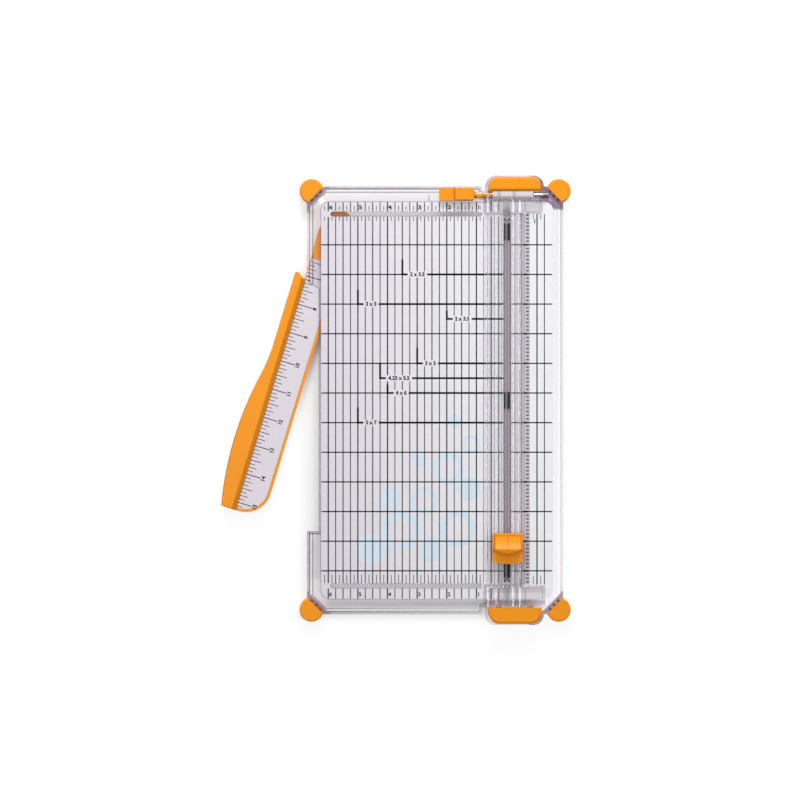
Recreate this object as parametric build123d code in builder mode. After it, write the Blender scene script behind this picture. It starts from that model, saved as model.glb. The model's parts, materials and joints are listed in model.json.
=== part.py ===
from build123d import *
import math
import os

# Sliding-blade paper trimmer with a swing-out ruler arm, in millimetres.
# +X runs to the right along the rulers, +Y away from the user and +Z up from the desk.
# The origin lies on the desk, below the middle of the trimmer with its arm part way out.

# Fits and cuts that all pieces share
overrun = 1.0  # how far a cut runs past the face that it opens
run_gap = 0.3  # between faces that move past each other
pin_gap = 0.05  # radial clearance of pins and posts in their bores
seat_gap = 0.1  # around pieces that drop into a recess

# Tray: one clear moulding with a raised deck, hollow below
tray_x = 33.4
tray_width = 220.0
corner_cut = 14.4  # leg of the cut corners, where the feet sit
wall = 2.0
skirt_lift = 1.2  # the skirt hangs this far above the desk
rim_top = 12.6
deck_rise = 1.4
deck_thickness = 3.6
deck_length = 343.0
rim_left = 10.8  # from the deck's edges to the tray's sides and ends
rim_right = 7.4
rim_end = 12.1
deck_corner = 9.0
deck_bevel_left = 5.2
deck_bevel_right = 2.0
deck_bevel_end = 6.0
rim_round = 0.9
rim_lip = 2.2  # raised edge outside the channel that runs round the rim
rim_channel = 2.8
rib_thickness = 1.6
rib_depth = 6.0
rib_offset = 6.5  # of the two long ribs, from the cut line

# Cut line and the groove below it
cut_inset = 48.5  # from the tray's right side
groove_width = 5.2
groove_depth = 2.2
groove_end = 16.5  # from the groove's ends to the deck's
strip_thickness = 0.6

# Paper fences along the two rulers
fence_inset = 9.5  # of the left ends, from the deck's left edge
fence_width = 4.3
fence_height = 1.8
fence_rear_inset = 11.8  # from the deck's ends
fence_front_inset = 12.6
fence_round = 0.6

# Measuring sheets, flush in the deck
sheet_thickness = 0.5
sheet_margin = 1.4
sheet_groove_margin = 0.6

# Tabs behind and in front of the rail
tab_shift = 6.6  # of the tabs' middle, right of the cut line
tab_width = 50.4
tab_reach = 9.3
tab_corner = 9.0
tab_rim = 1.4
tab_notch_depth = 6.5  # gap between the rim's end and the tab
tab_notch_width = 2.6
rim_end_round = 2.4
rail_bay_depth = 1.0
rail_bay_corner = 2.0

# Feet on the four corners
foot_radius = 10.3
foot_offset = 4.7  # of the foot's axis, out from the cut corner
foot_height = 12.4
foot_round = 1.6
foot_tongue_width = 2.6
foot_tongue_height = 4.0
foot_tongue_pitch = 5.0
foot_tongue_z = 4.2

# Rail: clear strip that holds the paper down and carries the cutter
paper_gap = 0.5
rail_plate = 2.5
rail_left = 19.8  # edges, from the cut line
rail_right = 14.4
rail_round = 1.0
slot_width = 5.2
slot_end = 18.7  # from the slot's ends to the deck's
track_half_width = 10.4
track_thickness = 2.0
track_height = 5.0
lip_reach = 1.0
lip_thickness = 1.5
guide_half_width = 4.6
guide_thickness = 1.4
guide_height = 4.0
track_round = 1.2  # on the tops of the tracks, guides and bead
guide_round = 0.6
bead_offset = 15.8
bead_width = 2.4
bead_height = 2.0
bead_round = 1.1

# End blocks of the rail
block_left = 20.2  # from the cut line
block_right_rear = 30.2
block_right_front = 32.2
block_rear_gap = 6.5  # between the slot's ends and the blocks
block_front_gap = 5.6
block_rear_length = 13.2
block_front_length = 18.8
block_height = 7.5
block_corner = 2.0
block_round = 1.0
block_rib_thickness = 1.2
block_rib_pitch = 7.6

# Rail hinge
hinge_inset = 8.15  # of the hinge axis, from the rear wall
knuckle_radius = 3.4
knuckle_width = 8.0
lug_radius = 3.2
lug_gap = 0.4
lug_left_width = 6.7
lug_right_width = 5.0
pin_radius_left = 2.3
pin_radius_right = 2.0
pin_engagement = 7.0
pin_cover = 0.8  # wall left over the fixed pin's outer end

# Sliding hinge pin with its finger piece
slide_length = 30.4
slide_width = 10.8
slide_shift = 0.9  # the finger piece sits this far behind the pin's axis
slide_low_height = 5.4
slide_high_height = 8.0
slide_low_length = 13.7
slide_round = 1.0
slide_corner = 2.2
slide_travel = 8.0
keeper_stem_length = 5.0
keeper_foot_length = 8.0
keeper_stem_width = 2.4
keeper_foot_width = 5.6
keeper_foot_height = 1.5

# Cover on the rear tab and lifting handle on the rail
cover_width = 45.2
cover_depth = 12.1
cover_height = 7.4
cover_corner = 8.0
cover_round = 2.4
cover_wall = 2.0
handle_width = 45.8
handle_depth = 13.9
handle_height = 8.4
handle_corner = 10.0
handle_round = 2.6
handle_peg_radius = 1.6
handle_peg_pitch = 28.0

# Rubber grip pads and the wire that shows the cut line
pad_width = 2.0
pad_gap = 1.2  # between the two bars of a pair
pad_length = 14.2
pad_end = 10.3  # from the outer pads' middles to the groove's ends
wire_radius = 0.3
wire_offset = 0.75  # from the cut line
wire_height = 0.5  # above the underside of the rail
wire_seat = 0.8
anchor_radius = 0.8
anchor_pitch = 3.8
anchor_inset = 2.0  # beyond the ends of the slot
anchor_proud = 0.4

# Cutter carriage
carriage_park = 13.5  # from the parked carriage to the slot's front end
carriage_length = 26.1
carriage_wall = 1.1
carriage_hook_height = 2.0
carriage_roof = 2.7
carriage_wall_height = 5.0  # above the roof, around the thumb grip
carriage_step_height = 3.0  # above the roof, in front of the thumb grip
carriage_bow = 1.7
carriage_corner = 2.0
well_rear_wall = 1.8
well_length = 11.6
well_side_wall = 1.7

# Thumb grip, blade holder, blade and return springs
press_travel = 3.0
grip_rear_height = 2.9
grip_lip_height = 7.6
grip_nose_height = 6.4
grip_undercut_height = 3.4
grip_lip_reach = 0.2
grip_ramp_sag = 0.8
grip_bow = 3.4
grip_mark_width = 0.5  # fine groove on the ramp, over the cut line
grip_mark_depth = 0.4
holder_width = 3.8
holder_length = 10.0
holder_depth = 9.3
holder_chamfer = 2.0
blade_thickness = 0.6
blade_width = 8.0
blade_lift = 1.1  # of the raised blade's tip, above the underside of the rail
blade_point = 3.4
blade_grip = 6.5  # length of blade held in the holder
spring_thickness = 0.3
spring_width = 3.0
spring_pitch = 14.0
spring_end = 1.2  # from the ends of the well

# Swing arm: rest angle from its parked place beside the tray
pivot_inset = 20.2  # from the deck's left edge and rear end
pivot_rear_inset = 35.4
rest_angle = 16.9
arm_end_gap = 1.3  # between the parked arm's tip and the end of its recess
arm_inner = 3.3
arm_baseline = 21.5
arm_outer = 31.6
arm_tip_outer = 34.2
arm_tip_slant = 0.6
arm_tip_radius = 22.0
grip_start = 100.0
grip_swell_start = 130.0
grip_swell = 3.0
root_back = 25.0
root_outer = 22.4
root_corner = 9.0
web_bottom = 6.8
web_thickness = 3.0
rib_bottom = 1.5
rib_top = 15.5
rib_wall = 2.0
rib_roof = 3.2
rib_round = 1.2
rib_end_round = 2.0
rib_slope_width = 3.1  # sloping inner side, towards the scale
rib_slope_foot = 1.4  # height above the web where the slope starts
hood_radius = 45.2
hood_gap = 1.0
recess_front_inset = 59.0  # from the deck's front end
recess_lip = 0.4
window_reach = 25.4  # behind the pivot
bay_gap = 1.2
scale_start = 21.0
scale_border = 2.4
scale_thickness = 0.6

# Arm pivot
post_radius = 5.0
washer_radius = 9.0
washer_thickness = 1.2
screw_radius = 1.6
screw_length = 7.0
screw_head_radius = 4.0
screw_head_height = 2.0
screw_head_round = 1.2

# Places worked out from the sizes above
deck_top = rim_top + deck_rise
ceiling = deck_top - deck_thickness
tray_left = tray_x - tray_width / 2
tray_length = deck_length + 2 * rim_end
tray_rear = tray_length / 2
tray_inner_length = tray_length - 2 * wall
deck_left = tray_left + rim_left
deck_right = tray_x + tray_width / 2 - rim_right
cut_x = tray_x + tray_width / 2 - cut_inset
tab_x = cut_x + tab_shift
notch_x = tab_x - tab_width / 2 - tab_notch_width
groove_length = deck_length - 2 * groove_end
groove_bottom = deck_top - groove_depth
pad_pitch = groove_length / 2 - pad_end
fence_left = deck_left + fence_inset
fence_rear_y = deck_length / 2 - fence_rear_inset
fence_front_y = fence_front_inset - deck_length / 2
rail_bottom = deck_top + paper_gap
plate_top = rail_bottom + rail_plate
track_top = plate_top + track_height
guide_top = plate_top + guide_height
bead_top = plate_top + bead_height
slot_length = deck_length - 2 * slot_end
block_rear_start = slot_length / 2 + block_rear_gap
block_front_start = slot_length / 2 + block_front_gap
rail_length = block_rear_start + block_front_start
block_left_x = cut_x - block_left
hinge_y = tray_rear - hinge_inset
hinge_z = rim_top + knuckle_radius + run_gap
lug_left_x = block_left_x - lug_gap - lug_left_width
lug_right_x = cut_x + block_right_rear + lug_gap
rail_bay_floor = rim_top - rail_bay_depth
slide_right_x = lug_left_x - 2 * run_gap
slide_x = slide_right_x - slide_length / 2
slide_y = hinge_y + slide_shift
slide_bottom = rim_top + run_gap
roof_bottom = track_top + run_gap
roof_top = roof_bottom + carriage_roof
carriage_half_width = track_half_width + lip_reach + run_gap + carriage_wall
hook_bottom = track_top - lip_thickness - run_gap - carriage_hook_height
carriage_front = carriage_park - slot_length / 2
carriage_rear = carriage_front + carriage_length
well_rear = carriage_rear - well_rear_wall
well_front = well_rear - well_length
well_half_width = carriage_half_width - well_side_wall
grip_bottom = roof_top + press_travel + run_gap
grip_rear = well_rear - run_gap
grip_front = well_front + run_gap
grip_half_width = well_half_width - run_gap
cutter_y = (grip_rear + grip_front) / 2
holder_bottom = grip_bottom - holder_depth
blade_tip = rail_bottom + blade_lift
pivot_x = deck_left + pivot_inset
pivot_y = deck_length / 2 - pivot_rear_inset
web_top = web_bottom + web_thickness
post_bottom = web_bottom - run_gap
recess_x = deck_left - recess_lip
recess_front = recess_front_inset - deck_length / 2
arm_length = pivot_y - recess_front - arm_end_gap
bay_rib_x = pivot_x + arm_inner + bay_gap
root_sweep = math.hypot(root_back, root_outer) + bay_gap


def corner_plane(side, end, height):
    """Plane in the middle of a cut corner of the tray, +X pointing straight out of it."""
    middle_x = tray_x + side * (tray_width - corner_cut) / 2
    middle_y = end * (tray_length - corner_cut) / 2
    return Plane(origin=(middle_x, middle_y, height), x_dir=(side, end, 0), z_dir=(0, 0, 1))


def arm_plane(height):
    """Plane at the arm's pivot: +X runs out to the arm's tip, +Y to its inner edge."""
    angle = math.radians(rest_angle)
    along = (-math.sin(angle), -math.cos(angle), 0)
    return Plane(origin=(pivot_x, pivot_y, height), x_dir=along, z_dir=(0, 0, 1))


def arm_section():
    """Plane across the arm at its pivot: +X runs to the arm's inner edge and +Y up."""
    angle = math.radians(rest_angle)
    along = (-math.sin(angle), -math.cos(angle), 0)
    inward = (math.cos(angle), -math.sin(angle), 0)
    return Plane(origin=(pivot_x, pivot_y, 0), x_dir=inward, z_dir=along)


def left_sheet_plan(gap):
    """Left measuring sheet, from the deck's left edge to the groove, grown by a gap."""
    left = deck_left + sheet_margin - gap
    right = cut_x - groove_width / 2 - sheet_groove_margin + gap
    length = deck_length - 2 * sheet_margin + 2 * gap
    with BuildSketch() as plan:
        with Locations((left, 0)):
            Rectangle(right - left, length, align=(Align.MIN, Align.CENTER))
        fillet(plan.vertices().group_by(Axis.X)[0], deck_corner - sheet_margin)
    return plan.sketch


def right_sheet_plan(gap):
    """Right measuring sheet, from the groove to the deck's right edge, grown by a gap."""
    left = cut_x + groove_width / 2 + sheet_groove_margin - gap
    right = deck_right - sheet_margin + gap
    length = deck_length - 2 * sheet_margin + 2 * gap
    with BuildSketch() as plan:
        with Locations((left, 0)):
            Rectangle(right - left, length, align=(Align.MIN, Align.CENTER))
        fillet(plan.vertices().group_by(Axis.X)[-1], deck_corner - sheet_margin)
    return plan.sketch


def fence_plan(gap):
    """The two paper fences with round ends, grown by a gap."""
    length = block_left_x - 2 * lug_gap - fence_left
    middle = fence_left + length / 2
    with BuildSketch() as plan:
        with Locations((middle, fence_rear_y), (middle, fence_front_y)):
            SlotOverall(length + 2 * gap, fence_width + 2 * gap)
    return plan.sketch


def tongue_plan(gap):
    """Three tongues that hold a foot in the wall of a cut corner, grown by a gap."""
    with BuildSketch() as plan:
        with GridLocations(wall, foot_tongue_pitch, 1, 3):
            Rectangle(wall, foot_tongue_width + 2 * gap, align=(Align.MAX, Align.CENTER))
    return plan.sketch


def tab_plan(end, inset):
    """Outline of a tab at the rear or front of the tray, drawn in by an inset."""
    depth = tab_reach + wall + hinge_inset
    with BuildSketch() as plan:
        with Locations((tab_x, end * (tray_rear + tab_reach - depth / 2))):
            Rectangle(tab_width - 2 * inset, depth - 2 * inset)
        outer_corners = plan.vertices().sort_by(Axis.Y, reverse=end < 0)[2:]
        fillet(outer_corners, tab_corner - inset)
    return plan.sketch


def inset_plan(outline, inset):
    """An outline drawn in by an inset."""
    with BuildSketch() as plan:
        add(outline)
        offset(amount=-inset, kind=Kind.INTERSECTION)
    return plan.sketch


def scale_plan(gap):
    """Outline of the arm's scale strip in the arm's plane, drawn in by a gap."""
    start = scale_start + gap
    end = arm_length - scale_border - gap
    low = -arm_baseline + gap
    high = arm_inner - scale_border - gap
    with BuildSketch() as plan:
        with Locations(((start + end) / 2, (low + high) / 2)):
            Rectangle(end - start, high - low)
        tip = plan.vertices().group_by(Axis.X)[-1].sort_by(Axis.Y)[-1]
        fillet(tip, arm_tip_radius - scale_border - gap)
    return plan.sketch


def rail_block(end, start, length, right):
    """End block of the rail: a box with softened edges, open below."""
    with BuildPart() as block:
        with BuildSketch(Plane.XY.offset(rail_bottom)) as plan:
            with Locations((block_left_x + (block_left + right) / 2, end * (start + length / 2))):
                RectangleRounded(block_left + right, length, block_corner)
        outer = plan.sketch
        extrude(amount=block_height)
        fillet(block.faces().sort_by(Axis.Z)[-1].edges(), block_round)
        with BuildSketch(Plane.XY.offset(rail_bottom)):
            add(outer)
            offset(amount=-wall, kind=Kind.INTERSECTION)
        extrude(amount=block_height - wall, mode=Mode.SUBTRACT)
        with BuildSketch(Plane.XY.offset(rail_bottom)):
            with Locations((cut_x, end * (start + length / 2))):
                with GridLocations(block_rib_pitch, length, 5, 1):
                    Rectangle(block_rib_thickness, length - wall)
        extrude(amount=block_height - wall)
    return block.part


os.makedirs("parts", exist_ok=True)

# Tray, with its deck, groove, fences, hinge lugs and the post for the arm
with BuildPart() as base_tray:
    with BuildSketch() as tray_plan:
        with Locations((tray_x, 0)):
            Rectangle(tray_width, tray_length)
        chamfer(tray_plan.vertices(), corner_cut)
        # Notches between the rim's round ends and the tabs
        with Locations((notch_x, tray_rear), (notch_x, -tray_rear)):
            Rectangle(
                tab_notch_width,
                2 * tab_notch_depth,
                align=(Align.MIN, Align.CENTER),
                mode=Mode.SUBTRACT,
            )
        notch_corners = tray_plan.vertices().filter_by_position(
            Axis.X, notch_x - seat_gap, notch_x + seat_gap
        )
        fillet(notch_corners.sort_by_distance((notch_x, 0))[2:], rim_end_round)
        add(tab_plan(1, 0))
        add(tab_plan(-1, 0))
    outline = tray_plan.sketch
    extrude(amount=rim_top)
    fillet(base_tray.faces().sort_by(Axis.Z)[-1].edges(), rim_round)
    with BuildSketch():
        add(outline)
    extrude(amount=skirt_lift, mode=Mode.SUBTRACT)
    # Raised deck with its bevel
    deck_x = (deck_left + deck_right) / 2
    deck_width = deck_right - deck_left
    with BuildSketch(Plane.XY.offset(rim_top)):
        with Locations((deck_x + (deck_bevel_right - deck_bevel_left) / 2, 0)):
            RectangleRounded(
                deck_width + deck_bevel_left + deck_bevel_right,
                deck_length + 2 * deck_bevel_end,
                deck_corner + deck_bevel_right,
            )
    with BuildSketch(Plane.XY.offset(deck_top)):
        with Locations((deck_x, 0)):
            RectangleRounded(deck_width, deck_length, deck_corner)
    loft()
    # Channel round the rim, inside its raised edge
    with BuildSketch(Plane.XY.offset(rail_bay_floor)):
        add(inset_plan(outline, rim_lip))
        add(inset_plan(outline, rim_lip + rim_channel), mode=Mode.SUBTRACT)
    extrude(amount=deck_top, mode=Mode.SUBTRACT)
    # Hollow below
    with BuildSketch(Plane.XY.offset(skirt_lift)):
        add(outline)
        offset(amount=-wall, kind=Kind.INTERSECTION)
    extrude(amount=ceiling - skirt_lift, mode=Mode.SUBTRACT)
    # Lowered bays for the two ends of the rail, with the seats inside the tabs
    for end in (1, -1):
        bay_depth = tray_rear - deck_length / 2
        with BuildSketch(Plane.XY.offset(rail_bay_floor)) as rail_bay:
            with Locations((block_left_x - lug_gap / 2, end * (deck_length / 2 + bay_depth / 2))):
                Rectangle(
                    block_left + block_right_front + lug_gap,
                    bay_depth,
                    align=(Align.MIN, Align.CENTER),
                )
            fillet(rail_bay.vertices().group_by(Axis.X)[0], rail_bay_corner)
            add(tab_plan(end, tab_rim))
        extrude(amount=deck_top, mode=Mode.SUBTRACT)
    # Bay for the sliding pin, level with the rim, and the slot for its keeper
    bay_left = slide_right_x - slide_length - slide_travel - run_gap
    with BuildSketch(Plane.XY.offset(rim_top)):
        with Locations((bay_left, slide_y)):
            Rectangle(
                lug_left_x - bay_left, slide_width + 2 * run_gap, align=(Align.MIN, Align.CENTER)
            )
    extrude(amount=deck_top, mode=Mode.SUBTRACT)
    with BuildSketch(Plane.XY.offset(ceiling)):
        with Locations((slide_x - slide_travel / 2, slide_y)):
            SlotOverall(
                keeper_stem_length + slide_travel + 2 * run_gap, keeper_stem_width + 2 * run_gap
            )
    extrude(amount=rim_top - ceiling, mode=Mode.SUBTRACT)
    # Recesses for the sheets, the fences that stand through them and the cut groove
    with BuildSketch(Plane.XY.offset(deck_top - sheet_thickness)):
        add(left_sheet_plan(seat_gap))
        add(right_sheet_plan(seat_gap))
    extrude(amount=sheet_thickness + overrun, mode=Mode.SUBTRACT)
    with BuildSketch(Plane.XY.offset(deck_top - sheet_thickness)):
        add(fence_plan(0))
    extrude(amount=sheet_thickness + fence_height)
    fence_tops = base_tray.faces().filter_by(GeomType.PLANE).group_by(Axis.Z)[-1]
    fillet(fence_tops.edges(), fence_round)
    with BuildSketch(Plane.XY.offset(groove_bottom)):
        with Locations((cut_x, 0)):
            Rectangle(groove_width, groove_length)
    extrude(amount=groove_depth + overrun, mode=Mode.SUBTRACT)
    # Long ribs beside the cut line, and the rib and end wall of the arm's bay
    bay_rib_rear = pivot_y - root_sweep
    with BuildSketch(Plane.XY.offset(ceiling - rib_depth)):
        with Locations((cut_x - rib_offset, 0), (cut_x + rib_offset, 0)):
            Rectangle(rib_thickness, tray_inner_length)
        with Locations((bay_rib_x, recess_front)):
            Rectangle(
                rib_thickness, bay_rib_rear - recess_front, align=(Align.MIN, Align.MIN)
            )
        with Locations((tray_left + wall / 2, recess_front)):
            Rectangle(
                bay_rib_x + rib_thickness - tray_left - wall / 2, wall, align=(Align.MIN, Align.MAX)
            )
    extrude(amount=rib_depth)
    # Open side where the arm parks, up to the round end of the hood over its root
    recess_depth = recess_x - tray_left
    with BuildSketch(Plane.XY.offset(skirt_lift)):
        with Locations((tray_left - overrun, recess_front)):
            Rectangle(
                recess_depth + overrun, pivot_y - recess_front, align=(Align.MIN, Align.MIN)
            )
        with Locations((pivot_x, pivot_y)):
            Circle(hood_radius, mode=Mode.SUBTRACT)
    extrude(amount=deck_top, mode=Mode.SUBTRACT)
    # Window in the side wall, below the hood
    with BuildSketch(Plane.XY.offset(skirt_lift)):
        with Locations((tray_left - overrun, pivot_y - hood_radius)):
            Rectangle(
                wall + 2 * overrun,
                window_reach + hood_radius,
                align=(Align.MIN, Align.MIN),
            )
    extrude(amount=ceiling - skirt_lift, mode=Mode.SUBTRACT)
    # Post for the arm, with the screw's pilot hole
    with BuildSketch(Plane.XY.offset(post_bottom)):
        with Locations((pivot_x, pivot_y)):
            Circle(post_radius)
    extrude(amount=ceiling - post_bottom)
    with BuildSketch(Plane.XY.offset(post_bottom)):
        with Locations((pivot_x, pivot_y)):
            Circle(screw_radius + pin_gap)
    extrude(amount=screw_length - washer_thickness, mode=Mode.SUBTRACT)
    # Hinge lugs, round about the hinge axis
    for lug_x, lug_width, bore, bore_depth in (
        (lug_left_x, lug_left_width, pin_radius_left + pin_gap, lug_left_width),
        (lug_right_x, lug_right_width, pin_radius_right, lug_right_width - pin_cover),
    ):
        with BuildSketch(Plane.YZ.offset(lug_x)):
            with Locations((hinge_y, hinge_z)):
                Circle(lug_radius)
                Rectangle(2 * lug_radius, hinge_z - ceiling, align=(Align.CENTER, Align.MAX))
        extrude(amount=lug_width)
        with BuildSketch(Plane.YZ.offset(lug_x)):
            with Locations((hinge_y, hinge_z)):
                Circle(bore)
        extrude(amount=bore_depth, mode=Mode.SUBTRACT)
    # Slots for the tongues of the feet
    for side in (-1, 1):
        for end in (-1, 1):
            with BuildSketch(corner_plane(side, end, foot_tongue_z - pin_gap)):
                add(tongue_plan(pin_gap))
            extrude(amount=foot_tongue_height + 2 * pin_gap, mode=Mode.SUBTRACT)
base_tray.part.label = "base_tray"
export_step(base_tray.part, "parts/base_tray.step")

# Measuring sheets, flush in the deck, the left one slotted for the fences
with BuildPart() as left_sheet:
    with BuildSketch(Plane.XY.offset(deck_top - sheet_thickness)):
        add(left_sheet_plan(0))
        add(fence_plan(seat_gap), mode=Mode.SUBTRACT)
    extrude(amount=sheet_thickness)
left_sheet.part.label = "left_measuring_sheet"
export_step(left_sheet.part, "parts/left_measuring_sheet.step")

with BuildPart() as right_sheet:
    with BuildSketch(Plane.XY.offset(deck_top - sheet_thickness)):
        add(right_sheet_plan(0))
    extrude(amount=sheet_thickness)
right_sheet.part.label = "right_measuring_sheet"
export_step(right_sheet.part, "parts/right_measuring_sheet.step")

# Feet: round pads with a flat against each cut corner, held by three tongues
for end_name, end in (("rear", 1), ("front", -1)):
    for side_name, side in (("left", -1), ("right", 1)):
        with BuildPart() as foot:
            with BuildSketch(corner_plane(side, end, 0)):
                with Locations((foot_offset, 0)):
                    Circle(foot_radius)
                Rectangle(
                    2 * foot_radius,
                    2 * foot_radius,
                    align=(Align.MAX, Align.CENTER),
                    mode=Mode.SUBTRACT,
                )
            extrude(amount=foot_height)
            fillet(foot.faces().sort_by(Axis.Z)[-1].edges().filter_by(GeomType.CIRCLE), foot_round)
            with BuildSketch(corner_plane(side, end, foot_tongue_z)):
                add(tongue_plan(0))
            extrude(amount=foot_tongue_height)
        foot_name = f"foot_{end_name}_{side_name}"
        foot.part.label = foot_name
        export_step(foot.part, f"parts/{foot_name}.step")

# Cover over the rear tab: a shell that stands in the tab's seat behind the hinge
cover_front = tray_rear + tab_reach - tab_rim - seat_gap - cover_depth
with BuildPart() as hinge_cover:
    with BuildSketch(Plane.XY.offset(rail_bay_floor)) as cover_plan:
        with Locations((tab_x, cover_front)):
            Rectangle(cover_width, cover_depth, align=(Align.CENTER, Align.MIN))
        fillet(cover_plan.vertices().group_by(Axis.Y)[-1], cover_corner)
    cover_outline = cover_plan.sketch
    extrude(amount=cover_height)
    fillet(hinge_cover.faces().sort_by(Axis.Z)[-1].edges(), cover_round)
    with BuildSketch(Plane.XY.offset(rail_bay_floor)):
        add(cover_outline)
        offset(amount=-cover_wall, kind=Kind.INTERSECTION)
    extrude(amount=cover_height - cover_wall, mode=Mode.SUBTRACT)
hinge_cover.part.label = "hinge_cover"
export_step(hinge_cover.part, "parts/hinge_cover.step")

# Fixed hinge pin in the right lug
with BuildPart() as hinge_pin:
    with BuildSketch(Plane.YZ.offset(lug_right_x - lug_gap - pin_engagement)):
        with Locations((hinge_y, hinge_z)):
            Circle(pin_radius_right)
    extrude(amount=pin_engagement + lug_gap + lug_right_width - pin_cover)
hinge_pin.part.label = "fixed_hinge_pin"
export_step(hinge_pin.part, "parts/fixed_hinge_pin.step")

# Cutting strip on the floor of the groove
with BuildPart() as cutting_strip:
    with BuildSketch(Plane.XY.offset(groove_bottom)):
        with Locations((cut_x, 0)):
            Rectangle(groove_width - 2 * seat_gap, groove_length - 2 * seat_gap)
    extrude(amount=strip_thickness)
cutting_strip.part.label = "cutting_strip"
export_step(cutting_strip.part, "parts/cutting_strip.step")

# Pairs of rubber bars on the strip, with room for the blade between them
for pad_name, pad_y in (("rear", pad_pitch), ("middle", 0), ("front", -pad_pitch)):
    with BuildPart() as grip_pads:
        with BuildSketch(Plane.XY.offset(groove_bottom + strip_thickness)):
            with Locations((cut_x, pad_y)):
                with GridLocations(pad_width + pad_gap, pad_length, 2, 1):
                    Rectangle(pad_width, pad_length)
        extrude(amount=groove_depth - strip_thickness)
    grip_pads.part.label = f"grip_pads_{pad_name}"
    export_step(grip_pads.part, f"parts/grip_pads_{pad_name}.step")

# End blocks of the rail
rear_block = rail_block(1, block_rear_start, block_rear_length, block_right_rear)
front_block = rail_block(-1, block_front_start, block_front_length, block_right_front)

# Rail: plate, tracks with outward lips, guides beside the slot, end blocks and knuckles
rail_plane = Plane(origin=(cut_x, block_rear_start, 0), x_dir=(1, 0, 0), z_dir=(0, -1, 0))
with BuildPart() as rail:
    with BuildSketch(rail_plane) as section:
        with Locations((-rail_left, rail_bottom)):
            Rectangle(rail_left + rail_right, rail_plate, align=(Align.MIN, Align.MIN))
        fillet(section.vertices().group_by(Axis.Y)[-1], rail_round)
        with Locations((-bead_offset, plate_top)):
            Rectangle(bead_width, bead_height, align=(Align.CENTER, Align.MIN))
        with BuildLine() as track_line:
            Polyline(
                (track_half_width - track_thickness, plate_top),
                (track_half_width, plate_top),
                (track_half_width, track_top - lip_thickness),
                (track_half_width + lip_reach, track_top - lip_thickness),
                (track_half_width + lip_reach, track_top),
                (track_half_width - track_thickness, track_top),
                close=True,
            )
        make_face()
        with BuildLine() as track_line_left:
            mirror(track_line.line, about=Plane.YZ)
        make_face()
        for guide_x in (guide_half_width - guide_thickness / 2, guide_thickness / 2 - guide_half_width):
            with Locations((guide_x, plate_top)):
                Rectangle(guide_thickness, guide_height, align=(Align.CENTER, Align.MIN))
        for tip_z, tip_round in (
            (track_top, track_round), (guide_top, guide_round), (bead_top, bead_round),
        ):
            tips = section.vertices().filter_by_position(Axis.Y, tip_z - pin_gap, tip_z + pin_gap)
            fillet(tips, tip_round)
    extrude(amount=rail_length)
    with BuildSketch(Plane.XY.offset(rail_bottom)):
        with Locations((cut_x, 0)):
            Rectangle(slot_width, slot_length)
    extrude(amount=rail_plate, mode=Mode.SUBTRACT)
    add(rear_block)
    add(front_block)
    # Knuckles behind the rear block
    knuckle_start = block_rear_start + block_rear_length - wall
    for knuckle_x, bore in (
        (block_left_x, pin_radius_left + pin_gap),
        (cut_x + block_right_rear - knuckle_width, pin_radius_right + pin_gap),
    ):
        with BuildSketch(Plane.YZ.offset(knuckle_x)):
            with Locations((hinge_y, hinge_z)):
                Circle(knuckle_radius)
            with Locations((knuckle_start, rail_bottom)):
                Rectangle(
                    hinge_y - knuckle_start,
                    hinge_z + knuckle_radius - rail_bottom,
                    align=(Align.MIN, Align.MIN),
                )
        extrude(amount=knuckle_width)
        with BuildSketch(Plane.YZ.offset(knuckle_x)):
            with Locations((hinge_y, hinge_z)):
                Circle(bore)
        extrude(amount=knuckle_width, mode=Mode.SUBTRACT)
    # Seats for the wire and its anchors at both ends of the slot, and for the handle's pegs
    with BuildSketch(Plane.XZ.offset(-slot_length / 2 - wire_seat)):
        with Locations((cut_x - wire_offset, rail_bottom + wire_height)):
            Circle(wire_radius + pin_gap)
    extrude(amount=slot_length + 2 * wire_seat, mode=Mode.SUBTRACT)
    with BuildSketch(Plane.XY.offset(rail_bottom + rail_plate / 2)):
        with Locations((cut_x, 0)):
            with GridLocations(anchor_pitch, slot_length + 2 * anchor_inset, 2, 2):
                Circle(anchor_radius)
    extrude(amount=rail_plate / 2, mode=Mode.SUBTRACT)
    with BuildSketch(Plane.XZ.offset(block_front_start + block_front_length)):
        with Locations((tab_x, rail_bottom + block_height / 2)):
            with GridLocations(handle_peg_pitch, block_height, 2, 1):
                Circle(handle_peg_radius + pin_gap)
    extrude(amount=-wall, mode=Mode.SUBTRACT)
rail.part.label = "rail"
export_step(rail.part, "parts/rail.step")

# Lifting handle on the front end of the rail: a shell with two pegs
handle_rear = -block_front_start - block_front_length
handle_bottom = rim_top + run_gap
with BuildPart() as lift_handle:
    with BuildSketch(Plane.XY.offset(handle_bottom)) as handle_plan:
        with Locations((tab_x, handle_rear)):
            Rectangle(handle_width, handle_depth, align=(Align.CENTER, Align.MAX))
        fillet(handle_plan.vertices().group_by(Axis.Y)[0], handle_corner)
    handle_outline = handle_plan.sketch
    extrude(amount=handle_height)
    front_edges = lift_handle.faces().sort_by(Axis.Z)[-1].edges().sort_by(Axis.Y)[:-1]
    fillet(front_edges, handle_round)
    with BuildSketch(Plane.XY.offset(handle_bottom)):
        add(handle_outline)
        offset(amount=-cover_wall, kind=Kind.INTERSECTION)
    extrude(amount=handle_height - cover_wall, mode=Mode.SUBTRACT)
    with BuildSketch(Plane.XZ.offset(-handle_rear)):
        with Locations((tab_x, rail_bottom + block_height / 2)):
            with GridLocations(handle_peg_pitch, block_height, 2, 1):
                Circle(handle_peg_radius)
    extrude(amount=-wall)
lift_handle.part.label = "lift_handle"
export_step(lift_handle.part, "parts/lift_handle.step")

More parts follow.
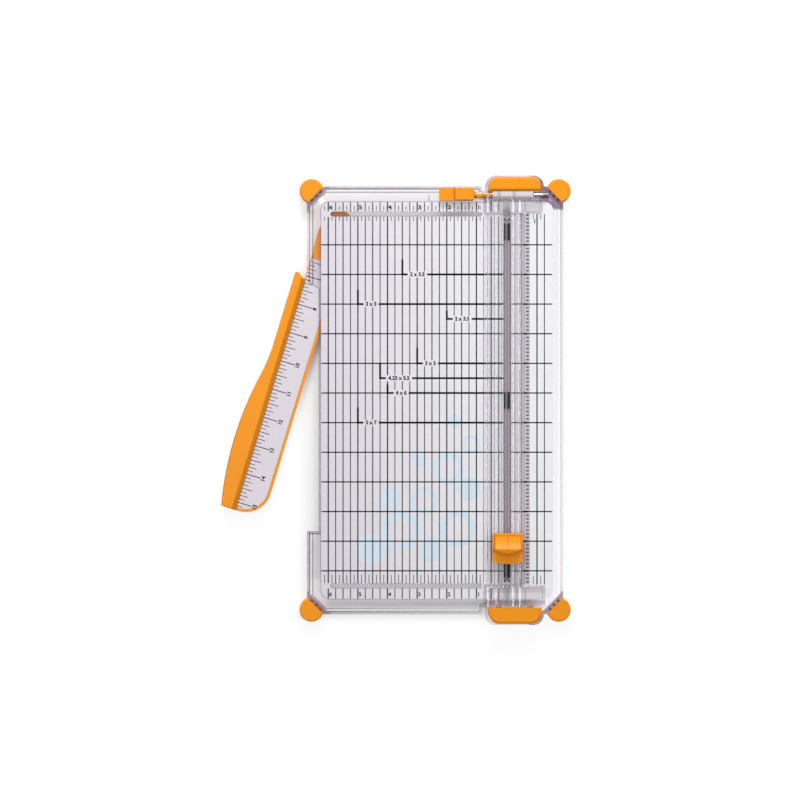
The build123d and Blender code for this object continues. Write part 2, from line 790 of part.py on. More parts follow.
# Wire that shows the cut line, and the anchors at its ends
wire_length = slot_length + 2 * wire_seat - 2 * pin_gap
with BuildPart() as cut_wire:
    with BuildSketch(Plane.XZ.offset(-wire_length / 2)):
        with Locations((cut_x - wire_offset, rail_bottom + wire_height)):
            Circle(wire_radius)
    extrude(amount=wire_length)
cut_wire.part.label = "cut_line_wire"
export_step(cut_wire.part, "parts/cut_line_wire.step")

with BuildPart() as wire_anchors:
    with BuildSketch(Plane.XY.offset(rail_bottom + rail_plate / 2)):
        with Locations((cut_x, 0)):
            with GridLocations(anchor_pitch, slot_length + 2 * anchor_inset, 2, 2):
                Circle(anchor_radius)
    extrude(amount=rail_plate / 2 + anchor_proud)
wire_anchors.part.label = "wire_anchors"
export_step(wire_anchors.part, "parts/wire_anchors.step")

# Carriage housing: hooks under the rail's lips, a well for the thumb grip and a bowed front step
with BuildPart() as carriage:
    with BuildSketch(Plane.XY.offset(hook_bottom)) as carriage_plan:
        with BuildLine():
            rear_left = (cut_x - carriage_half_width, carriage_rear)
            rear_right = (cut_x + carriage_half_width, carriage_rear)
            front_left = (cut_x - carriage_half_width, carriage_front + carriage_bow)
            front_right = (cut_x + carriage_half_width, carriage_front + carriage_bow)
            Polyline(front_left, rear_left, rear_right, front_right)
            ThreePointArc(front_right, (cut_x, carriage_front), front_left)
        make_face()
        fillet(carriage_plan.vertices(), carriage_corner)
    extrude(amount=roof_top + carriage_wall_height - hook_bottom)
    # Lower step in front of the grip
    with BuildSketch(Plane.XY.offset(roof_top + carriage_step_height)):
        with Locations((cut_x, well_front)):
            Rectangle(
                2 * carriage_half_width,
                well_front - carriage_front,
                align=(Align.CENTER, Align.MAX),
            )
    extrude(amount=carriage_wall_height, mode=Mode.SUBTRACT)
    # Channel for the rail's tracks
    with BuildSketch(Plane.XZ.offset(-carriage_rear)):
        with Locations((cut_x, hook_bottom)):
            Rectangle(
                2 * (track_half_width + run_gap),
                roof_bottom - hook_bottom,
                align=(Align.CENTER, Align.MIN),
            )
        with Locations((cut_x, roof_bottom)):
            Rectangle(
                2 * (track_half_width + lip_reach + run_gap),
                lip_thickness + 2 * run_gap,
                align=(Align.CENTER, Align.MAX),
            )
    extrude(amount=carriage_length, mode=Mode.SUBTRACT)
    # Well for the thumb grip and the slot that lets the blade holder through the roof
    with BuildSketch(Plane.XY.offset(roof_top)):
        with Locations((cut_x, well_rear)):
            Rectangle(2 * well_half_width, well_length, align=(Align.CENTER, Align.MAX))
    extrude(amount=carriage_wall_height, mode=Mode.SUBTRACT)
    with BuildSketch(Plane.XY.offset(roof_bottom)):
        with Locations((cut_x, cutter_y)):
            Rectangle(holder_width + 2 * run_gap, holder_length + 2 * run_gap)
    extrude(amount=carriage_roof, mode=Mode.SUBTRACT)
carriage.part.label = "carriage_housing"
export_step(carriage.part, "parts/carriage_housing.step")

# Thumb grip: a ramp that rises to a bowed lip with an undercut below it
grip_lip = grip_front - grip_lip_reach
with BuildPart() as thumb_grip:
    with BuildSketch(Plane.YZ.offset(cut_x - grip_half_width)):
        with BuildLine():
            rear_top = (grip_rear, grip_bottom + grip_rear_height)
            lip_top = (grip_lip + grip_lip_reach, grip_bottom + grip_lip_height)
            lip_nose = (grip_lip - grip_bow, grip_bottom + grip_nose_height)
            undercut_end = (grip_front, grip_bottom + grip_undercut_height)
            ramp_middle = (
                (rear_top[0] + lip_top[0]) / 2,
                (rear_top[1] + lip_top[1]) / 2 - grip_ramp_sag,
            )
            Polyline(undercut_end, (grip_front, grip_bottom), (grip_rear, grip_bottom), rear_top)
            ThreePointArc(rear_top, ramp_middle, lip_top)
            Line(lip_top, lip_nose)
            Line(lip_nose, undercut_end)
        make_face()
    extrude(amount=2 * grip_half_width)
    with BuildSketch(Plane.XY.offset(grip_bottom)):
        with BuildLine():
            grip_left = cut_x - grip_half_width
            grip_right = cut_x + grip_half_width
            lip_left = (grip_left, grip_lip)
            lip_right = (grip_right, grip_lip)
            Polyline(lip_left, (grip_left, grip_rear), (grip_right, grip_rear), lip_right)
            ThreePointArc(lip_right, (cut_x, grip_lip - grip_bow), lip_left)
        make_face()
    extrude(amount=grip_lip_height, mode=Mode.INTERSECT)
    # Fine groove along the ramp
    mark_origin = (cut_x - grip_mark_width / 2, 0, -grip_mark_depth)
    with BuildSketch(Plane(origin=mark_origin, x_dir=(0, 1, 0), z_dir=(1, 0, 0))):
        with BuildLine():
            ThreePointArc(rear_top, ramp_middle, lip_top)
            Polyline(
                lip_top,
                (lip_top[0], lip_top[1] + overrun),
                (rear_top[0], lip_top[1] + overrun),
                rear_top,
            )
        make_face()
    extrude(amount=grip_mark_width, mode=Mode.SUBTRACT)
thumb_grip.part.label = "thumb_grip"
export_step(thumb_grip.part, "parts/thumb_grip.step")

# Blade holder below the grip, slit for the blade
with BuildPart() as blade_holder:
    with BuildSketch(Plane.YZ.offset(cut_x - holder_width / 2)) as holder_side:
        with Locations((cutter_y, grip_bottom)):
            Rectangle(holder_length, holder_depth, align=(Align.CENTER, Align.MAX))
        chamfer(holder_side.vertices().group_by(Axis.Y)[0], holder_chamfer)
    extrude(amount=holder_width)
    with BuildSketch(Plane.XY.offset(holder_bottom)):
        with Locations((cut_x, cutter_y)):
            Rectangle(blade_thickness + 2 * pin_gap, blade_width + 2 * pin_gap)
    extrude(amount=blade_grip + pin_gap, mode=Mode.SUBTRACT)
blade_holder.part.label = "blade_holder"
export_step(blade_holder.part, "parts/blade_holder.step")

# Blade: flat steel with a pointed cutting end
with BuildPart() as blade:
    with BuildSketch(Plane.YZ.offset(cut_x - blade_thickness / 2)):
        with BuildLine():
            Polyline(
                (cutter_y - blade_width / 2, holder_bottom + blade_grip),
                (cutter_y - blade_width / 2, blade_tip + blade_point),
                (cutter_y, blade_tip),
                (cutter_y + blade_width / 2, blade_tip + blade_point),
                (cutter_y + blade_width / 2, holder_bottom + blade_grip),
                close=True,
            )
        make_face()
    extrude(amount=blade_thickness)
blade.part.label = "blade"
export_step(blade.part, "parts/blade.step")

# Two bowed leaf springs between the carriage's roof and the grip
spring_rear = well_rear - spring_end
spring_front = well_front + spring_end
spring_middle = (spring_rear + spring_front) / 2
spring_top = grip_bottom - pin_gap
with BuildPart() as return_springs:
    for spring_x in (cut_x - spring_pitch / 2, cut_x + spring_pitch / 2):
        with BuildSketch(Plane.YZ.offset(spring_x - spring_width / 2)):
            with BuildLine():
                inner_front = spring_front + 2 * spring_thickness
                inner_rear = spring_rear - 2 * spring_thickness
                ThreePointArc(
                    (spring_front, roof_top), (spring_middle, spring_top), (spring_rear, roof_top)
                )
                Line((spring_rear, roof_top), (inner_rear, roof_top))
                ThreePointArc(
                    (inner_rear, roof_top),
                    (spring_middle, spring_top - spring_thickness),
                    (inner_front, roof_top),
                )
                Line((inner_front, roof_top), (spring_front, roof_top))
            make_face()
        extrude(amount=spring_width)
return_springs.part.label = "return_springs"
export_step(return_springs.part, "parts/return_springs.step")

# Sliding hinge pin: finger piece with a raised end, round pin and the keeper below the rim
with BuildPart() as pin_slide:
    with BuildSketch(Plane.XY.offset(slide_bottom)):
        with Locations((slide_x, slide_y)):
            RectangleRounded(slide_length, slide_width, slide_corner)
    extrude(amount=slide_high_height)
    with BuildSketch(Plane.XY.offset(slide_bottom + slide_low_height)):
        with Locations((slide_right_x - slide_length, slide_y)):
            Rectangle(slide_low_length, slide_width, align=(Align.MIN, Align.CENTER))
    extrude(amount=slide_high_height, mode=Mode.SUBTRACT)
    fillet(pin_slide.faces().sort_by(Axis.Z)[-1].edges(), slide_round)
    with BuildSketch(Plane.YZ.offset(slide_right_x - slide_corner)):
        with Locations((hinge_y, hinge_z)):
            Circle(pin_radius_left)
    extrude(amount=block_left_x + pin_engagement - slide_right_x + slide_corner)
    with BuildSketch(Plane.XY.offset(ceiling - run_gap)):
        with Locations((slide_x, slide_y)):
            SlotOverall(keeper_stem_length, keeper_stem_width)
    extrude(amount=slide_bottom - ceiling + run_gap)
    with BuildSketch(Plane.XY.offset(ceiling - run_gap)):
        with Locations((slide_x, slide_y)):
            SlotOverall(keeper_foot_length, keeper_foot_width)
    extrude(amount=-keeper_foot_height)
pin_slide.part.label = "hinge_pin_slide"
export_step(pin_slide.part, "parts/hinge_pin_slide.step")

# Swing arm: flat web on the pivot, and a raised hollow rib that swells into a finger grip
rib_radius = hood_radius + hood_gap
rib_outer_start = math.sqrt(rib_radius**2 - arm_outer**2)
rib_inner_start = math.sqrt(rib_radius**2 - arm_baseline**2)
outer_angle = math.atan2(arm_outer, rib_outer_start)
inner_angle = math.atan2(arm_baseline, rib_inner_start)
middle_angle = (outer_angle + inner_angle) / 2
rib_start_middle = (rib_radius * math.cos(middle_angle), -rib_radius * math.sin(middle_angle))
with BuildPart() as swing_arm:
    with BuildSketch(arm_plane(web_bottom)) as web_plan:
        with Locations(((arm_length - root_back) / 2, (arm_inner - root_outer) / 2)):
            Rectangle(arm_length + root_back, arm_inner + root_outer)
        fillet(web_plan.vertices().group_by(Axis.X)[-1].sort_by(Axis.Y)[-1], arm_tip_radius)
        fillet(web_plan.vertices().group_by(Axis.X)[0], root_corner)
    extrude(amount=web_thickness)
    with BuildSketch(arm_plane(rib_bottom)) as rib_plan:
        with BuildLine():
            outer_start = (rib_outer_start, -arm_outer)
            swell_start = (grip_start, -arm_outer)
            swell_rise = (grip_swell_start, -arm_outer - grip_swell)
            tip_outer = (arm_length - arm_tip_slant, -arm_tip_outer)
            tip_inner = (arm_length, -arm_baseline)
            inner_start = (rib_inner_start, -arm_baseline)
            Line(outer_start, swell_start)
            rise = TangentArc(swell_start, swell_rise, tangent=(1, 0))
            TangentArc(swell_rise, tip_outer, tangent=rise % 1)
            Polyline(tip_outer, tip_inner, inner_start)
            ThreePointArc(inner_start, rib_start_middle, outer_start)
        make_face()
        fillet(rib_plan.vertices().sort_by(Axis.X)[0], rib_end_round)
    rib_outline = rib_plan.sketch
    extrude(amount=rib_top - rib_bottom)
    # Sloping inner side of the rib
    with BuildSketch(arm_section()):
        with BuildLine():
            slope_foot_z = web_top + rib_slope_foot
            slope_crest_x = -arm_baseline - rib_slope_width
            Polyline(
                (-arm_baseline, slope_foot_z),
                (slope_crest_x, rib_top),
                (slope_crest_x, rib_top + overrun),
                (overrun - arm_baseline, rib_top + overrun),
                (overrun - arm_baseline, slope_foot_z),
                close=True,
            )
        make_face()
    extrude(amount=arm_length + overrun, mode=Mode.SUBTRACT)
    fillet(swing_arm.faces().sort_by(Axis.Z)[-1].edges(), rib_round)
    with BuildSketch(Plane.XY.offset(rib_bottom)):
        add(rib_outline)
        offset(amount=-rib_wall, kind=Kind.INTERSECTION)
    extrude(amount=rib_top - rib_bottom - rib_roof, mode=Mode.SUBTRACT)
    with BuildSketch(arm_plane(web_bottom)):
        Circle(post_radius + pin_gap)
    extrude(amount=web_thickness, mode=Mode.SUBTRACT)
    with BuildSketch(arm_plane(web_top - scale_thickness)):
        add(scale_plan(0))
    extrude(amount=scale_thickness, mode=Mode.SUBTRACT)
swing_arm.part.label = "swing_arm"
export_step(swing_arm.part, "parts/swing_arm.step")

# Scale strip in the arm's recess
with BuildPart() as arm_scale:
    with BuildSketch(arm_plane(web_top - scale_thickness)):
        add(scale_plan(seat_gap))
    extrude(amount=scale_thickness)
arm_scale.part.label = "arm_scale"
export_step(arm_scale.part, "parts/arm_scale.step")

# Washer and pan-head screw that hold the arm up on its post
with BuildPart() as arm_washer:
    with BuildSketch(Plane.XY.offset(post_bottom)):
        with Locations((pivot_x, pivot_y)):
            Circle(washer_radius)
            Circle(screw_radius + pin_gap, mode=Mode.SUBTRACT)
    extrude(amount=-washer_thickness)
arm_washer.part.label = "arm_washer"
export_step(arm_washer.part, "parts/arm_washer.step")

screw_head_top = post_bottom - washer_thickness
with BuildPart() as arm_screw:
    with BuildSketch(Plane.XY.offset(screw_head_top)):
        with Locations((pivot_x, pivot_y)):
            Circle(screw_head_radius)
    extrude(amount=-screw_head_height)
    fillet(arm_screw.edges().group_by(Axis.Z)[0], screw_head_round)
    with BuildSketch(Plane.XY.offset(screw_head_top)):
        with Locations((pivot_x, pivot_y)):
            Circle(screw_radius)
    extrude(amount=screw_length - pin_gap)
arm_screw.part.label = "arm_pivot_screw"
export_step(arm_screw.part, "parts/arm_pivot_screw.step")
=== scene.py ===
import json
import math

import bpy
from bpy.props import FloatProperty, FloatVectorProperty, PointerProperty
from mathutils import Matrix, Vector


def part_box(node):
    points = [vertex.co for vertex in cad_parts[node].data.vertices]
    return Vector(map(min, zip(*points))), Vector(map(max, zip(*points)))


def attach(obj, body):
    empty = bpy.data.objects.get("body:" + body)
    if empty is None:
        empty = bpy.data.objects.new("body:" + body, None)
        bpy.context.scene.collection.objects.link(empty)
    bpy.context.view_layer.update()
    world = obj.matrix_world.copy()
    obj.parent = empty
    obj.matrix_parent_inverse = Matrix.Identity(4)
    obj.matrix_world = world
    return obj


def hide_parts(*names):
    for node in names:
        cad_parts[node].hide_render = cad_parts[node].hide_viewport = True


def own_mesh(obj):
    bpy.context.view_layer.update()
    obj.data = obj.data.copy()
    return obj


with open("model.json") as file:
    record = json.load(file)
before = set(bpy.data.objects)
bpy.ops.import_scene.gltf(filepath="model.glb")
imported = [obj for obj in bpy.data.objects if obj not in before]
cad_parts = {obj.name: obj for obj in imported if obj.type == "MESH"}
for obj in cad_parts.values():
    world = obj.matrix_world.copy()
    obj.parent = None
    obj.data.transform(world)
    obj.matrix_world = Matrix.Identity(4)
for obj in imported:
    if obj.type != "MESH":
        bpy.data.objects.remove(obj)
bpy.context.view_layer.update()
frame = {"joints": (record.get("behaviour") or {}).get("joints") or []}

bl_info = {
    "name": "Paper Trimmer Dressing",
    "version": (1, 0, 0),
    "blender": (4, 5, 0),
    "location": "3D View > Sidebar > Trimmer",
    "description": "Finishes, ruled print and studio stage of a sliding-blade paper trimmer",
    "category": "Object",
}

MM = 0.001
INCH = 0.0254
JOINTS = {joint["name"]: joint for joint in frame["joints"]}

# The print is ruled from its own zero: the shadow line of the wire, and the rear fence's paper edge. It has a
# cross line at each inch, ticks from the seventh eighth on, and stops short of the sheet's edges.
DECK_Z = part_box("left_measuring_sheet")[1].z
ZERO_X = 94.2 * MM
ZERO_Y = 158.7 * MM
RIGHT_ZERO_X = 95.3 * MM
DECK_INCHES = 12
FIRST_TICK = INCH * 7 / 8
SHEET_MARGIN = 0.3 * MM

# Films of ink that cross lie a layer apart. A paper size's mark and its label's ground lie this many films
# above the sheet.
INK_LAYER = 0.001 * MM
MARK_FILMS = 0.9
GROUND_FILMS = 1.2

# Figures and labels: height of a figure as a share of its type size, half the thickness of its film, steps of
# its curves, how much the strokes are fattened, and the heights of a label and of its ground.
CAP_SHARE = 0.7
LETTER_FILM = 0.01 * MM
LETTER_STEPS = 3
FIGURE_WEIGHT = 0.16 * MM
LABEL_WEIGHT = 0.2 * MM
LABEL_HEIGHT = 3.2 * MM
LABEL_GROUND = 5.4 * MM

# Left sheet, in mm along the deck: stretches of its lengthwise lines, which stop at the fences, stretches of
# its eighth-inch ticks and rows of its figures, which stand a little to the right of their lines.
LEFT_INCHES = 6
LEFT_LINES = ((162.1, 169.9), (-156.6, 157.3), (-169.9, -161.2))
LEFT_TICKS = ((163.0, 166.6), (153.8, 157.2), (-156.6, -149.4))
LEFT_TICK_COUNT = 22
LEFT_FIGURES = (165.4, -166.4)
LEFT_FIGURE_ASIDE = 1.9 * MM

# Paper sizes marked on the deck: inches left of the cut and below zero, and in mm the length of the stub, the
# place of the label and the width of its ground.
PAPER_SIZES = (
    ("2 x 3.5", 3.5, 2.0, 13.0, 12.9, 16.6),
    ("3 x 5", 5.0, 3.0, 12.4, 11.3, 12.8),
    ("2 x 3.5", 2.0, 3.5, 7.2, 13.2, 16.2),
    ("3 x 5", 3.0, 5.0, 13.2, 11.4, 12.8),
    ("4.25 x 5.5", 4.25, 5.5, 12.9, 16.2, 22.4),
    ("4 x 6", 4.0, 6.0, 7.2, 11.7, 12.8),
    ("5 x 7", 5.0, 7.0, 13.2, 11.3, 13.0),
)

# Right sheet: ends of its lengthwise lines, middle and length of its cross lines, stretches of its ticks in
# mm, and place of its figure.
RIGHT_REAR = 159.6 * MM
RIGHT_FRONT = -157.8 * MM
RIGHT_CROSS_X = 116.1 * MM
RIGHT_CROSS_LENGTH = 35.2 * MM
RIGHT_TICKS = ((155.4, 159.3), (-157.2, -150.4))
RIGHT_TICK_COUNT = 2
RIGHT_FIGURE_ASIDE = 2.0 * MM
RIGHT_FIGURE_Y = 153.2 * MM

# Tick ladder of the right sheet, in mm: place and width of each strip of its grey band, place, step and width
# of its two thin lines, and place, length and width of its rungs and of its inch blocks.
LADDER_STRIPS = ((107.95, 2.7), (111.95, 4.9))
LADDER_LINES = (107.1, 2.3, 0.35)
LADDER_RUNGS = (112.6, 2.2, 1.0)
LADDER_RUNG_COUNT = 100
LADDER_BLOCKS = (111.0, 3.0, 1.5)

# The arm's scale is ruled along the arm from a zero of its own, and turned with the arm about its pivot.
ARM_ANGLE = math.radians(-JOINTS["arm_swing"]["range_deg"][0])
ARM_PIVOT = JOINTS["arm_swing"]["pos_m"][:2]
ARM_SCALE_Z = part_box("arm_scale")[1].z
ARM_ZERO = -140.8 * MM
ARM_TICK_FOOT = -21.3 * MM
ARM_FIGURE_RISE = 14.9 * MM
ARM_FIGURES = range(7, 16)

# Ticks of the arm at the odd eighths, odd quarters, halves and inches: first and step in inches, count, and
# length and width in mm.
ARM_TICKS = (
    (6.625, 1 / 4, 35, 4.6, 0.55),
    (6.75, 1 / 2, 17, 6.8, 0.55),
    (6.5, 1.0, 9, 9.0, 0.6),
    (7.0, 1.0, 9, 12.4, 0.75),
)

# Sockets of a mix of two colours.
MIX_A = 6
MIX_B = 7
MIX_RESULT = 2

# Corners of the leaf springs that stand closer than this are one.
WELD = 0.001 * MM

# Discs of the pale tint on the sheet: place on the deck and radius in mm. Each second one is a ring, whose
# width is a share of its radius, and each lies a step above the one before.
TINT_DISCS = (
    (-22.0, -128.0, 13.0), (4.0, -112.0, 17.0), (30.0, -128.0, 11.0), (52.0, -110.0, 16.0),
    (-6.0, -84.0, 9.0), (24.0, -86.0, 12.0), (62.0, -76.0, 10.0), (44.0, -58.0, 14.0),
    (20.0, -50.0, 7.0), (64.0, -38.0, 8.0), (50.0, -18.0, 6.0),
)
DISC_SIDES = 40
RING_SHARE = 0.35
TINT_LIFT = 0.004 * MM
TINT_STEP = 0.0005 * MM

# Painted light: the sheets' ground turns lighter from its left to its right colour between these places
# across the deck.
SHEET_PAINTED_LIGHT = (-65.0 * MM, 135.0 * MM)

# The tray's painted dark edge lines are plainest at the rear left and fainter to the right and front: change
# of their level per metre.
TRAY_EDGE_SHADE_FADE = (-5.2, 1.2, 0.0)

# The tray's middle, and how far out from it along the diagonals the corner walls' painted shade begins and is
# full.
TRAY_MIDDLE = (33.4 * MM, 0.0, 0.0)
DIAGONAL = (0.5 ** 0.5, 0.5 ** 0.5, 0.0)
CORNER_WALL_SHADE = (192.4 * MM, 193.6 * MM)

# Around the hinge the tray carries painted shade, in the corner beside the fixed pin and in the bay between
# the rail's two barrels: places across and along it in mm, with levels that together give the tone.
HINGE_SPAN = ((60.0, 150.0), (160.0, 190.0))
HINGE_SHADES = (
    (((122.4, 0.0), (124.4, 1.0)), ((162.9, 0.0), (164.9, 1.0))),
    (
        ((79.0, 0.0), (80.5, 1.0), (116.0, 1.0), (117.5, 0.0)),
        ((171.8, 0.0), (172.4, 0.7), (174.8, 0.7), (175.6, 0.12), (179.4, 0.12), (180.0, 0.0)),
    ),
)

# Shallow ridges moulded along the rail: places across it in mm, with their heights, and how much of the
# clear tone the painted dark streaks beside them keep.
RIDGE_SPAN = (76.0, 111.0)
RIDGE_HEIGHT = (
    (77.6, 0.0), (79.2, 0.9), (80.4, 0.0), (84.4, 0.0), (86.0, 0.6), (87.2, 0.0),
    (98.9, 0.0), (100.6, 0.9), (102.0, 0.0), (104.9, 0.0), (106.5, 0.9), (107.9, 0.0),
)
RIDGE_STREAK_SHADE = (
    (79.5, 1.0), (80.2, 0.55), (80.9, 1.0), (86.0, 1.0), (86.7, 0.65), (87.4, 1.0),
    (88.9, 1.0), (89.6, 0.7), (90.3, 1.0), (98.8, 1.0), (99.4, 0.65), (100.0, 1.0),
    (103.0, 1.0), (103.6, 0.65), (104.2, 1.0), (106.4, 1.0), (107.0, 0.65), (107.6, 1.0),
)

# The rail's end blocks carry painted shade, most at their outer walls: places along it in mm, and how much of
# the clear tone they keep.
BLOCK_SPAN = (-180.0, 180.0)
BLOCK_PAINTED_SHADE = (
    (-175.2, 1.0), (-173.8, 0.25), (-171.4, 0.25), (-170.2, 0.85), (-164.8, 0.85), (-163.4, 0.55),
    (-158.0, 0.55), (-156.6, 1.0), (156.6, 1.0), (159.0, 0.7), (167.2, 0.6), (168.4, 0.6), (169.8, 0.6),
    (170.2, 0.2), (173.6, 0.2), (175.4, 0.75),
)

# Below the tray the desk lies in painted shadow, less so below the fences: places along it in mm, with the
# light.
DESK_SPAN = (-200.0, 200.0)
DESK_LIGHT = (
    (-191.0, 1.0), (-178.0, 0.0), (-173.0, 0.0), (-171.5, 0.3), (-156.0, 0.3), (-153.0, 0.0),
    (162.0, 0.0), (169.0, 0.5), (179.0, 0.5), (184.0, 1.0),
)

# The painted shadow's middle, how far out beside it the light begins and is full, the share of the desk's own
# white in the painted shadow and out of it, and the length of the desk's sides in metres.
SHADOW_MIDDLE = (20.0 * MM, 0.0, 0.0)
SHADOW_SIDE = (94.0 * MM, 108.0 * MM)
WHITE_SHARE = (0.17, 0.8)
DESK_SIZE = 40.0

# Strength of that white, and the painted light added to it where it is seen through clear plastic.
WHITE_STRENGTH = 1.07
WHITE_BEHIND_PLASTIC = 0.12

# The room's light rises from the horizon's grey to full white at this height, to which a share of the way to
# the rear is added.
HORIZON = (0.22, 0.21, 0.24, 1)
OVERHEAD = (1, 1, 1, 1)
OVERHEAD_FROM = 0.75
REAR_SHARE = 0.4

# A long soft box on each side, the left one the stronger, and a low one behind that shades what faces the
# front: place, width and length in metres, and power as a share of the left one's.
SOFT_BOXES = (
    ("soft_box_left", (-0.47, 0.4, 1.35), 0.2, 1.5, 1.0),
    ("soft_box_right", (0.6, 0.4, 1.35), 0.4, 1.5, 0.6),
    ("soft_box_rear", (0.0, 1.9, 1.3), 1.2, 0.45, 4.5),
)

# The camera looks straight down on this place of the desk, and sees as far as its reach in metres.
CAMERA_X = 3.3 * MM
CAMERA_Y = 0.3 * MM
CAMERA_REACH = 50.0
SENSOR_WIDTH = 36.0


def linear(hexcode):
    """sRGB hex to the linear colour that the shaders use."""
    levels = [int(hexcode[i:i + 2], 16) / 255 for i in (1, 3, 5)]
    return [c / 12.92 if c <= 0.04045 else ((c + 0.055) / 1.055) ** 2.4 for c in levels]


def add_node(tree, kind, settings=None, links=None):
    """Add a node, set its properties and sockets by name and link its inputs."""
    node = tree.nodes.new(kind)
    for key, value in (settings or {}).items():
        if isinstance(key, str) and hasattr(node, key):
            setattr(node, key, value)
        else:
            node.inputs[key].default_value = value
    for key, (source, output) in (links or {}).items():
        tree.links.new(source.outputs[output], node.inputs[key])
    return node


def new_material(name):
    """Empty node material and its output."""
    material = bpy.data.materials.new(name)
    material.use_nodes = True
    material.node_tree.nodes.clear()
    output = add_node(material.node_tree, "ShaderNodeOutputMaterial")
    return material, material.node_tree, output


def levels_along(tree, source, axis, span, points):
    """Levels that change with the place along one axis, straight from point to point."""
    axes = add_node(tree, "ShaderNodeSeparateXYZ", {}, {0: (source, "Object")})
    place = add_node(
        tree, "ShaderNodeMapRange", {"From Min": span[0] * MM, "From Max": span[1] * MM},
        {"Value": (axes, axis)})
    ramp = add_node(tree, "ShaderNodeValToRGB", {}, {"Fac": (place, "Result")})
    stops = ramp.color_ramp.elements
    stops[0].position, stops[1].position = 0.0, 1.0
    for stop, (_, level) in ((stops[0], points[0]), (stops[1], points[-1])):
        stop.color = (level, level, level, 1)
    for spot, level in points:
        stop = stops.new((spot - span[0]) / (span[1] - span[0]))
        stop.color = (level, level, level, 1)
    return ramp


def dress(material, *names):
    """Give CAD nodes or pieces their finish."""
    for name in names:
        piece = bpy.data.objects[name]
        if piece.material_slots:
            for slot in piece.material_slots:
                slot.material = material
        else:
            piece.data.materials.append(material)


def seat(piece, body, material):
    """Put a finished piece on its body with its slot and finish."""
    piece.data.materials.clear()
    piece.data.materials.append(material)
    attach(piece, body)


def deselect():
    """Leave edit mode, with nothing selected."""
    if bpy.context.object and bpy.context.object.mode != "OBJECT":
        bpy.ops.object.mode_set(mode="OBJECT")
    bpy.ops.object.select_all(action="DESELECT")


def ruled(size, place, step=(0, 0, 0), count=1):
    """A printed line, or a row of them at a steady step, as a thin film of ink."""
    deselect()
    bpy.ops.mesh.primitive_cube_add(size=1, location=place, scale=size)
    line = bpy.context.object
    bpy.ops.object.transform_apply(location=True, rotation=True, scale=True)
    if count > 1:
        row = line.modifiers.new("row", "ARRAY")
        row.count = count
        row.use_relative_offset = False
        row.use_constant_offset = True
        row.constant_offset_displace = step
        bpy.ops.object.modifier_apply(modifier=row.name)
    return line


def lettered(words, height, place, weight, turn=0.0):
    """Plain figures as a thin film of ink, centred on their place."""
    deselect()
    bpy.ops.object.text_add(location=(0, 0, 0))
    text = bpy.context.object
    text.data.body = words
    text.data.size = height / CAP_SHARE
    text.data.align_x = "CENTER"
    text.data.align_y = "CENTER"
    text.data.offset = weight
    text.data.extrude = LETTER_FILM
    text.data.resolution_u = LETTER_STEPS
    bpy.ops.object.convert(target="MESH")
    text = bpy.context.object
    text.matrix_world = Matrix.Translation(place) @ Matrix.Rotation(turn, 4, "Z")
    bpy.ops.object.transform_apply(location=True, rotation=True, scale=True)
    return text


def joined(parts, name):
    """Join printed films into one piece."""
    deselect()
    for part in parts:
        part.select_set(True)
    bpy.context.view_layer.objects.active = parts[0]
    bpy.ops.object.join()
    piece = bpy.context.object
    piece.name = name
    piece.data.name = name
    return piece


class TrimmerFinishes(bpy.types.PropertyGroup):
    """Colours of the finishes"""
    clear: FloatVectorProperty(
        name="Clear plastic", description="Tint of the tray and the rail", subtype="COLOR",
        default=linear("#FDFCFE"), min=0, max=1)
    smoke: FloatVectorProperty(
        name="Smoke", description="Cast that the clear plastic takes on in its depth", subtype="COLOR",
        default=(0.58, 0.5, 0.56), min=0, max=1)
    # Painted shade: tone of the fine dark lines along the clear plastic's edges and of the streaks beside the
    # rail's ridges.
    edge: FloatVectorProperty(
        name="Clear edges", description="Tone of the clear plastic's edges", subtype="COLOR",
        default=linear("#574E5E"), min=0, max=1)
    # Painted shade on the tray's corner walls and the rail's end blocks.
    corner: FloatVectorProperty(
        name="Clear corners", description="Tone of the tray's corner walls and the rail's end blocks",
        subtype="COLOR", default=linear("#BCACB8"), min=0, max=1)
    # Painted shade around the rail's hinge.
    hinge: FloatVectorProperty(
        name="Clear hinge", description="Tone of the tray around the rail's hinge", subtype="COLOR",
        default=linear("#9A8096"), min=0, max=1)
    orange: FloatVectorProperty(
        name="Orange plastic", description="Colour of the moulded grips, feet and arm", subtype="COLOR",
        default=linear("#F2950A"), min=0, max=1)
    # Painted shade: the orange in its hollows.
    orange_deep: FloatVectorProperty(
        name="Deep orange", description="Tone of the orange plastic in its hollows", subtype="COLOR",
        default=linear("#B85E06"), min=0, max=1)
    # Painted light: the sheets' ground is darker at the left and lighter at the right.
    sheet: FloatVectorProperty(
        name="Sheet", description="Ground of the measuring sheets at their left", subtype="COLOR",
        default=linear("#D9D2DB"), min=0, max=1)
    sheet_right: FloatVectorProperty(
        name="Sheet at right", description="Ground of the measuring sheets at their right", subtype="COLOR",
        default=linear("#E9EBEE"), min=0, max=1)
    tint: FloatVectorProperty(
        name="Sheet tint", description="Pale discs printed on the left sheet", subtype="COLOR",
        default=linear("#D2E1EC"), min=0, max=1)
    ink: FloatVectorProperty(
        name="Ink", description="Lines and figures", subtype="COLOR",
        default=linear("#09090B"), min=0, max=1)
    band: FloatVectorProperty(
        name="Ladder band", description="Grey ground of the right sheet's tick ladder", subtype="COLOR",
        default=linear("#C3BCC3"), min=0, max=1)
    strip: FloatVectorProperty(
        name="Cutting strip", description="Soft strip in the groove", subtype="COLOR",
        default=linear("#A2949F"), min=0, max=1)


